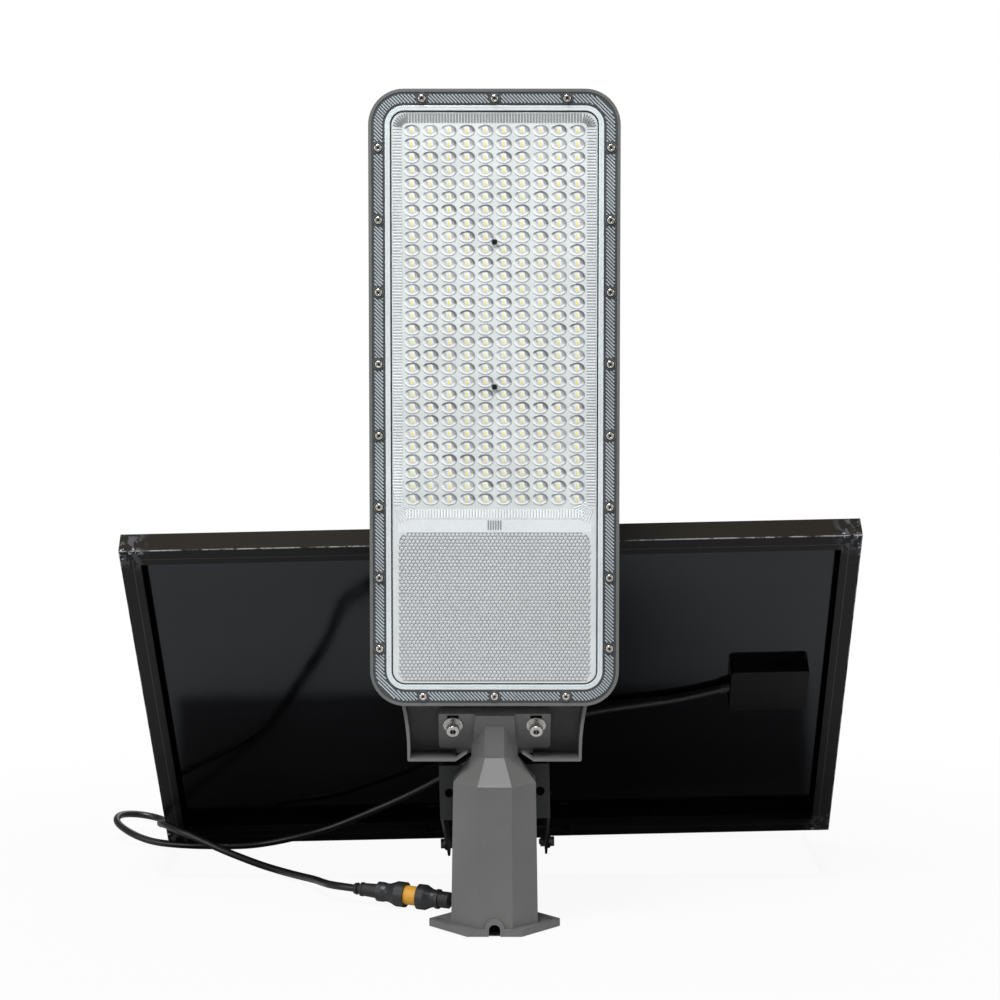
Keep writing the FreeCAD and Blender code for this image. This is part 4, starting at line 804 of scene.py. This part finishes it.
# ------------------------------------------------------------ lens cover
COVER_RADIUS = 18.4 * MM
BAND_TOP, BAND_LOW, WINDOW_TOP = 413 * MM, 403 * MM, 392 * MM
FLUTE_NEAR, FLUTE_FAR, FLUTE_CORNER = 1.2 * MM, 9.8 * MM, 15 * MM
FLUTE_RISE, SHADE_LIFT = 0.55 * MM, 0.05 * MM
WINDOW_HALF = 93 * MM
PRISM_X, PRISM_Z, PRISM_RISE = 3.8 * MM, 3.25 * MM, 0.85 * MM
PIP_X, PIP_HEIGHTS = 88.6 * MM, (440 * MM, 520 * MM, 660 * MM, 765 * MM)
LENS_PROFILE = ((1.0, 0.0), (0.97, 0.42), (0.88, 0.50), (0.80, 0.36), (0.62, 0.70),
                (0.40, 0.92), (0.18, 1.0))


def add_lens(form, cx, cz, half_x, half_z, base_y, rise, count=22):
    """Low oval dome with a raised edge."""
    add_loops(form, [oval(cx, cz, half_x * part, half_z * part, base_y - rise * height, count)
                     for part, height in LENS_PROFILE], (cx, base_y - rise, cz))


def build_cover_rim(shape, inner, rim_y, back_y, seal_y, base_y):
    """Rim of the cover, with a groove in its face and a lip over the seal."""
    groove = rim_y + 0.25 * MM
    lip = seal_y + 0.1 * MM
    profile = [(0.0, back_y), (0.0, rim_y + 0.5 * MM), (0.15 * MM, rim_y + 0.15 * MM),
               (0.5 * MM, rim_y), (2.2 * MM, rim_y), (2.4 * MM, groove), (2.7 * MM, groove),
               (2.9 * MM, rim_y), (4.5 * MM, rim_y), (4.85 * MM, rim_y + 0.15 * MM),
               (5.0 * MM, rim_y + 0.5 * MM), (5.0 * MM, lip), (inner, lip), (inner, base_y)]
    rim = [], []
    add_loops(rim, [outline(inset(shape, by), y, 14) for by, y in profile])
    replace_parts(make_piece("cover_rim", rim, "cover_rim"), "lens_cover")


def build_lens_field(settings, shape, base_y):
    """The cover's face with its rows of lenses."""
    loop = outline(shape, base_y, 14)
    form = loop, [tuple(range(len(loop)))]
    for col in range(settings.lens_columns):
        for row in range(settings.lens_rows):
            x = (col - (settings.lens_columns - 1) / 2) * settings.lens_pitch_x
            z = (settings.lens_centre_z
                 + (row - (settings.lens_rows - 1) / 2) * settings.lens_pitch_z)
            add_lens(form, x, z, settings.lens_half_x, settings.lens_half_z, base_y, 1.5 * MM)
    make_piece("lens_field", form, "cover", smooth=True)


def build_border(pitch, half, top, base_y):
    """Flutes round the lens field, the bands below it and the marks between them, the darker ones
    painted shade.
    """
    flutes, shaded, bright = ([], []), ([], []), ([], [])
    above_band = BAND_TOP + 5 * MM
    for side in (-1, 1):
        near, far = side * (half - FLUTE_NEAR), side * (half - FLUTE_FAR)
        for z in np.arange(above_band, top - FLUTE_CORNER, pitch):
            add_rib(flutes, (near, z), (far, z), pitch * 0.36, base_y, FLUTE_RISE)
            # thin dark lines between the flutes: painted shade
            add_rib(shaded, (near, z + pitch / 2), (far, z + pitch / 2), pitch * 0.12, base_y,
                    0.12 * MM)
        # darker flutes round the corners: painted shade
        pivot = Vector((side * (half - FLUTE_CORNER), top - FLUTE_CORNER))
        for i in range(1, 8):
            a = math.radians(90 * i / 8)
            d = Vector((side * math.cos(a), math.sin(a)))
            add_rib(shaded, pivot + d * (FLUTE_CORNER - FLUTE_NEAR),
                    pivot + d * (FLUTE_CORNER - FLUTE_FAR), pitch * 0.30, base_y, FLUTE_RISE)
        pivot = Vector((side * (half - 1 * MM), BAND_TOP + 8 * MM))
        for i in range(9):
            a = math.radians(190 + 62 * i / 8)
            d = Vector((-side * abs(math.cos(a)), math.sin(a)))
            add_rib(flutes, pivot + d * 8 * MM, pivot + d * 22 * MM, pitch * 0.30, base_y,
                    0.5 * MM)
    # darker flutes along the top: painted shade
    for x in np.arange(FLUTE_CORNER - half, half - FLUTE_CORNER, pitch):
        add_rib(shaded, (x, top - FLUTE_NEAR), (x, top - FLUTE_FAR), pitch * 0.40, base_y,
                FLUTE_RISE)
    for x in np.arange(14 * MM - half, half - 14 * MM, pitch):
        add_rib(bright, (x, BAND_TOP), (x, BAND_LOW + 1.5 * MM), pitch * 0.40, base_y,
                0.8 * MM, 0.2)
        # thin dark lines between the band's ribs: painted shade
        add_rib(shaded, (x + pitch / 2, BAND_TOP - 0.5 * MM), (x + pitch / 2, BAND_LOW + 2 * MM),
                pitch * 0.07, base_y - SHADE_LIFT, 0.10 * MM)
    for x in np.arange(-6 * MM, 6.01 * MM, 2.4 * MM):
        add_rib(shaded, (x, BAND_LOW - 0.5 * MM), (x, WINDOW_TOP + 1.5 * MM), 0.62 * MM,
                base_y - SHADE_LIFT, 0.9 * MM, 0.2)
    wide, foot, y = half - 5 * MM, WINDOW_TOP - 1 * MM, base_y - SHADE_LIFT
    sheet = [(-wide, y, foot), (wide, y, foot), (wide, y, BAND_TOP), (-wide, y, BAND_TOP)]
    make_piece("cover_flutes", flutes, "flute")
    make_piece("cover_shade", shaded, "flute_dark")
    make_piece("bright_band", bright, "flute_bright")
    make_piece("pale_band", (sheet, [(0, 1, 2, 3)]), "pale")


def build_window(window_low, base_y):
    """Field of small six-sided prisms over a darker sheet, painted shade in the gaps between
    them.
    """
    shade = outline((WINDOW_HALF - 1.3 * MM, window_low + 1.1 * MM, WINDOW_TOP - 1.3 * MM,
                     9.7 * MM), base_y - 0.06 * MM)
    make_piece("window_shade", (shade, [tuple(range(len(shade)))]), "flute_dark")
    prisms = [], []
    shape = WINDOW_HALF, window_low - 1 * MM, WINDOW_TOP, 11 * MM
    for row in range(int((WINDOW_TOP - window_low) / PRISM_Z) + 1):
        z = window_low + row * PRISM_Z
        for col in range(int(2 * WINDOW_HALF / PRISM_X) + 1):
            x = -WINDOW_HALF + (PRISM_X / 2 if row % 2 else 0.0) + col * PRISM_X
            if ring_distance(x, z, shape) <= -1.5 * MM:
                add_loops(prisms, [oval(x, z, 0.53 * PRISM_X * part, 0.56 * PRISM_X * part,
                                        base_y - PRISM_RISE * height, 6, 30)
                                   for part, height in ((0.94, 0.0), (0.55, 0.75))],
                          (x, base_y - PRISM_RISE, z))
    make_piece("prism_window", prisms, "prism")


def build_lens_cover(settings):
    """The clear cover: rim, lens field, fluted border, bands, prism window and pips."""
    low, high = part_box("lens_cover")
    seal_low, seal_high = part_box("lens_seal")
    shape = high.x, low.z, high.z, COVER_RADIUS
    seal_in = high.x - seal_high.x + 1.3 * MM
    face = inset(shape, seal_in + 0.02 * MM)
    base_y = seal_low.y + 0.5 * MM
    build_cover_rim(shape, seal_in, low.y, high.y, seal_high.y, base_y)
    build_lens_field(settings, face, base_y)
    build_border(settings.flute_pitch, face[0], face[2], base_y)
    build_window(face[1] + 0.6 * MM, base_y)
    pips = [], []
    for z in PIP_HEIGHTS:
        for side in (-1, 1):
            add_lens(pips, side * PIP_X, z, 1.3 * MM, 1.3 * MM, base_y, 0.5 * MM, 12)
    make_piece("cover_pips", pips, "cover_rim", smooth=True)


# ------------------------------------------------------------ cables
PANEL_LEAD = [
    (0.2402, 0.2225, 0.2009), (0.2029, 0.2306, 0.1899), (0.1601, 0.2343, 0.1829),
    (0.1122, 0.2373, 0.1759), (0.0625, 0.2445, 0.1632), (0.0130, 0.2603, 0.1401),
    (-0.0324, 0.2819, 0.1103), (-0.0679, 0.2990, 0.0860), (-0.1074, 0.3138, 0.0636),
    (-0.1490, 0.3267, 0.0434), (-0.1866, 0.3380, 0.0260), (-0.2290, 0.3410, 0.0145),
    (-0.2560, 0.3470, 0.0080), (-0.2820, 0.3500, 0.0043), (-0.3040, 0.3500, 0.0043)]

PLUG_CABLE = [
    (-0.3040, 0.3500, 0.0043), (-0.3280, 0.3500, 0.0043), (-0.3600, 0.3570, 0.0044),
    (-0.3880, 0.3670, 0.0056), (-0.4134, 0.3797, 0.0125), (-0.4335, 0.4020, 0.0210),
    (-0.4324, 0.4256, 0.0250), (-0.4150, 0.4416, 0.0225), (-0.3914, 0.4408, 0.0185),
    (-0.3766, 0.4228, 0.0170), (-0.3766, 0.3920, 0.0200), (-0.3766, 0.3600, 0.0275),
    (-0.3715, 0.3260, 0.0355), (-0.3509, 0.3060, 0.0320), (-0.3266, 0.2960, 0.0240),
    (-0.3012, 0.2840, 0.0150), (-0.2745, 0.2680, 0.0083), (-0.2523, 0.2490, 0.0048),
    (-0.2302, 0.2209, 0.0050), (-0.2091, 0.1914, 0.0066), (-0.1881, 0.1590, 0.0096),
    (-0.1780, 0.1330, 0.0124), (-0.16711, 0.10705, 0.01552), (-0.1429, 0.0976, 0.0146)]

LAMP_CABLE = [
    (0.0, 0.0530, 0.2400), (0.0, 0.0760, 0.2400), (-0.0020, 0.0980, 0.2210),
    (-0.0050, 0.1070, 0.1900), (-0.0080, 0.1090, 0.1530), (-0.0120, 0.1120, 0.1160),
    (-0.0170, 0.1170, 0.0800), (-0.0170, 0.1270, 0.0460), (0.0, 0.1360, 0.0180),
    (0.0280, 0.1270, 0.0055), (0.0380, 0.0990, 0.0043), (0.0260, 0.0720, 0.0048),
    (0.0020, 0.0550, 0.0076), (-0.0230, 0.0508, 0.0100), (-0.0435, 0.0588, 0.0108)]


def cable_piece(name, points, body, node, diameter):
    curve = bpy.data.curves.new(name, "CURVE")
    curve.dimensions = "3D"
    curve.bevel_depth = diameter / 2
    curve.bevel_resolution = 6
    curve.use_fill_caps = True
    curve.resolution_u = 10
    spline = curve.splines.new("NURBS")
    spline.points.add(len(points) - 1)
    for point, (x, y, z) in zip(spline.points, points):
        point.co = (x, y, z, 1.0)
    spline.order_u = 3
    spline.use_endpoint_u = True
    obj = bpy.data.objects.new(name, curve)
    bpy.context.scene.collection.objects.link(obj)
    dress(obj, "cable")
    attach(obj, body)
    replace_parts(obj, node)
    return obj


def build_cables(settings):
    d = settings.diameter
    lead = cable_piece("panel_lead_sheath", PANEL_LEAD, "panel", "panel_lead", d)
    loop = cable_piece("plug_cable_sheath", PLUG_CABLE, "root", "plug_cable", d)
    drop = cable_piece("lamp_cable_sheath", LAMP_CABLE, "root", "lamp_cable", d)


# ------------------------------------------------------------ stage
CAMERA_PLACE, CAMERA_DIP, CAMERA_LENS = (0.0053, -2.481, 0.611), 4.4, 92.16
LIGHT_TARGET = Vector((0.0, 0.1, 0.4))
LIGHTS = (("key", (-0.45, -1.25, 2.75), 1.1, 84.0), ("fill", (-2.1, -1.7, 1.0), 1.4, 16.0),
          ("side", (2.2, -1.2, 1.3), 1.4, 16.0), ("back", (0.3, 2.3, 2.0), 1.6, 22.0))


def mix_shaders(nodes, factor, first, second, target):
    node = nodes.new("ShaderNodeMixShader")
    plug(factor, node.inputs[0])
    plug(Value(first.outputs[0]), node.inputs[1])
    plug(Value(second.outputs[0]), node.inputs[2])
    plug(Value(node.outputs[0]), target.inputs["Surface"])


def build_floor(scene):
    """White floor that lights nothing, except round the arm's foot, with a painted shadow under
    the panel.
    """
    mesh = bpy.data.meshes.new("floor")
    mesh.from_pydata([(-9, -6, -0.0012), (9, -6, -0.0012), (9, 12, -0.0012), (-9, 12, -0.0012)],
                     [], [(0, 1, 2, 3)])
    floor = bpy.data.objects.new("floor", mesh)
    scene.collection.objects.link(floor)
    material = bpy.data.materials.new("pale_floor")
    material.use_nodes = True
    mesh.materials.append(material)
    nodes = material.node_tree.nodes
    nodes.clear()
    ground = Value(nodes.new("ShaderNodeTexCoord").outputs["Object"])
    seen = Value(nodes.new("ShaderNodeLightPath").outputs["Is Camera Ray"])
    x, y, _ = parts(ground)
    away = vector_op(ground, "DISTANCE", (0, 0, 0), "Value")
    # painted shadow under the panel: darker for light and reflections, white to the camera
    painted_panel_shadow = y.rise(0.212, 0.232) * abs(x).fall(0.35, 0.37) * y.fall(0.42, 0.46)
    white = (away.rise(0.55, 1.25) * 0.07 + 0.93).most(painted_panel_shadow * 0.952)
    diffuse = nodes.new("ShaderNodeBsdfDiffuse")
    plug(mix(painted_panel_shadow, (0.55, 0.55, 0.55), (0.13, 0.13, 0.13)), diffuse.inputs["Color"])
    mix_shaders(nodes, seen * (away.rise(0.036, 0.040) * white), diffuse,
                nodes.new("ShaderNodeEmission"), nodes.new("ShaderNodeOutputMaterial"))


def build_world(scene):
    """Soft bluish light, plain white where the camera or the glass sees it."""
    world = bpy.data.worlds.new("studio")
    scene.world = world
    world.use_nodes = True
    nodes = world.node_tree.nodes
    nodes.clear()
    skies = []
    for shade, strength in (((0.95, 0.97, 1.0), 0.26), ((1, 1, 1), 1.0)):
        sky = nodes.new("ShaderNodeBackground")
        plug(shade, sky.inputs["Color"])
        plug(strength, sky.inputs["Strength"])
        skies.append(sky)
    path = nodes.new("ShaderNodeLightPath").outputs
    seen = Value(path["Is Camera Ray"]).most(Value(path["Is Transmission Ray"]))
    mix_shaders(nodes, seen, *skies, nodes.new("ShaderNodeOutputWorld"))


def build_stage():
    """Pale floor, soft lamps, world and camera."""
    scene = bpy.context.scene
    scene.view_settings.view_transform = "Standard"
    build_floor(scene)
    build_world(scene)
    for name, place, size, power in LIGHTS:
        light = bpy.data.lights.new(name, "AREA")
        light.shape = "SQUARE"
        light.size = size
        light.energy = power
        obj = bpy.data.objects.new(name, light)
        scene.collection.objects.link(obj)
        obj.location = place
        obj.rotation_mode = "QUATERNION"
        obj.rotation_quaternion = (LIGHT_TARGET - Vector(place)).to_track_quat("-Z", "Y")

    camera = bpy.data.cameras.new("camera")
    camera.lens = CAMERA_LENS
    camera.sensor_width = 36.0
    camera.clip_end = 60.0
    obj = bpy.data.objects.new("camera", camera)
    scene.collection.objects.link(obj)
    obj.location = CAMERA_PLACE
    obj.rotation_euler = (math.radians(90 - CAMERA_DIP), 0.0, 0.0)
    scene.camera = obj


# ------------------------------------------------------------ operators
class LampMaterials(bpy.types.Operator):
    """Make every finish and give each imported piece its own."""
    bl_idname = "street_lamp.materials"
    bl_label = "Finishes"

    def execute(self, context):
        MATERIALS.update(build_materials(context.scene))
        for key, nodes in FINISHES.items():
            for node in nodes.split():
                dress(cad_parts[node], key)
        return {"FINISHED"}


class LampCables(bpy.types.Operator):
    """Lay the panel's lead, the loop to the plug and the lamp's own cable."""
    bl_idname = "street_lamp.cables"
    bl_label = "Cables"

    def execute(self, context):
        build_cables(context.scene.lamp_cable)
        return {"FINISHED"}


class LampFrameRibs(bpy.types.Operator):
    """Mould the ribs on the screwed frame, and detail its screws and the arm's bolts."""
    bl_idname = "street_lamp.frame_ribs"
    bl_label = "Frame ribs"

    def execute(self, context):
        build_frame_ribs(context.scene.lamp_head)
        build_screw_details()
        build_bolt_sockets()
        return {"FINISHED"}


class LampLensCover(bpy.types.Operator):
    """Mould the clear cover with its lenses, flutes and prism window."""
    bl_idname = "street_lamp.lens_cover"
    bl_label = "Lens cover"

    def execute(self, context):
        build_lens_cover(context.scene.lamp_head)
        return {"FINISHED"}


class LampStage(bpy.types.Operator):
    """Set up the floor, the lamps and the camera."""
    bl_idname = "street_lamp.stage"
    bl_label = "Stage"

    def execute(self, context):
        build_stage()
        return {"FINISHED"}


OPERATORS = (LampMaterials, LampCables, LampFrameRibs, LampLensCover, LampStage)


class LampSidebar(bpy.types.Panel):
    """Lists the lamp's settings and the operators that build its pieces."""
    bl_idname = "VIEW3D_PT_street_lamp"
    bl_label = "Street lamp"
    bl_space_type = "VIEW_3D"
    bl_region_type = "UI"
    bl_category = "Street lamp"

    def draw(self, context):
        for settings in (context.scene.lamp_head, context.scene.lamp_panel,
                         context.scene.lamp_cable):
            for key in settings.__annotations__:
                self.layout.prop(settings, key)
        for operator in OPERATORS:
            self.layout.operator(operator.bl_idname)


SETTINGS = (("lamp_head", LampHeadSettings), ("lamp_panel", PanelSettings),
            ("lamp_cable", CableSettings))


def register():
    for key, group in SETTINGS:
        bpy.utils.register_class(group)
        setattr(bpy.types.Scene, key, bpy.props.PointerProperty(type=group))
    for cls in (*OPERATORS, LampSidebar):
        bpy.utils.register_class(cls)


def unregister():
    for cls in reversed((*OPERATORS, LampSidebar)):
        bpy.utils.unregister_class(cls)
    for key, group in reversed(SETTINGS):
        delattr(bpy.types.Scene, key)
        bpy.utils.unregister_class(group)


def main():
    register()
    bpy.ops.street_lamp.materials()
    bpy.ops.street_lamp.cables()
    bpy.ops.street_lamp.frame_ribs()
    bpy.ops.street_lamp.lens_cover()
    bpy.ops.street_lamp.stage()
    bpy.context.view_layer.update()


if __name__ == "__main__":
    main()
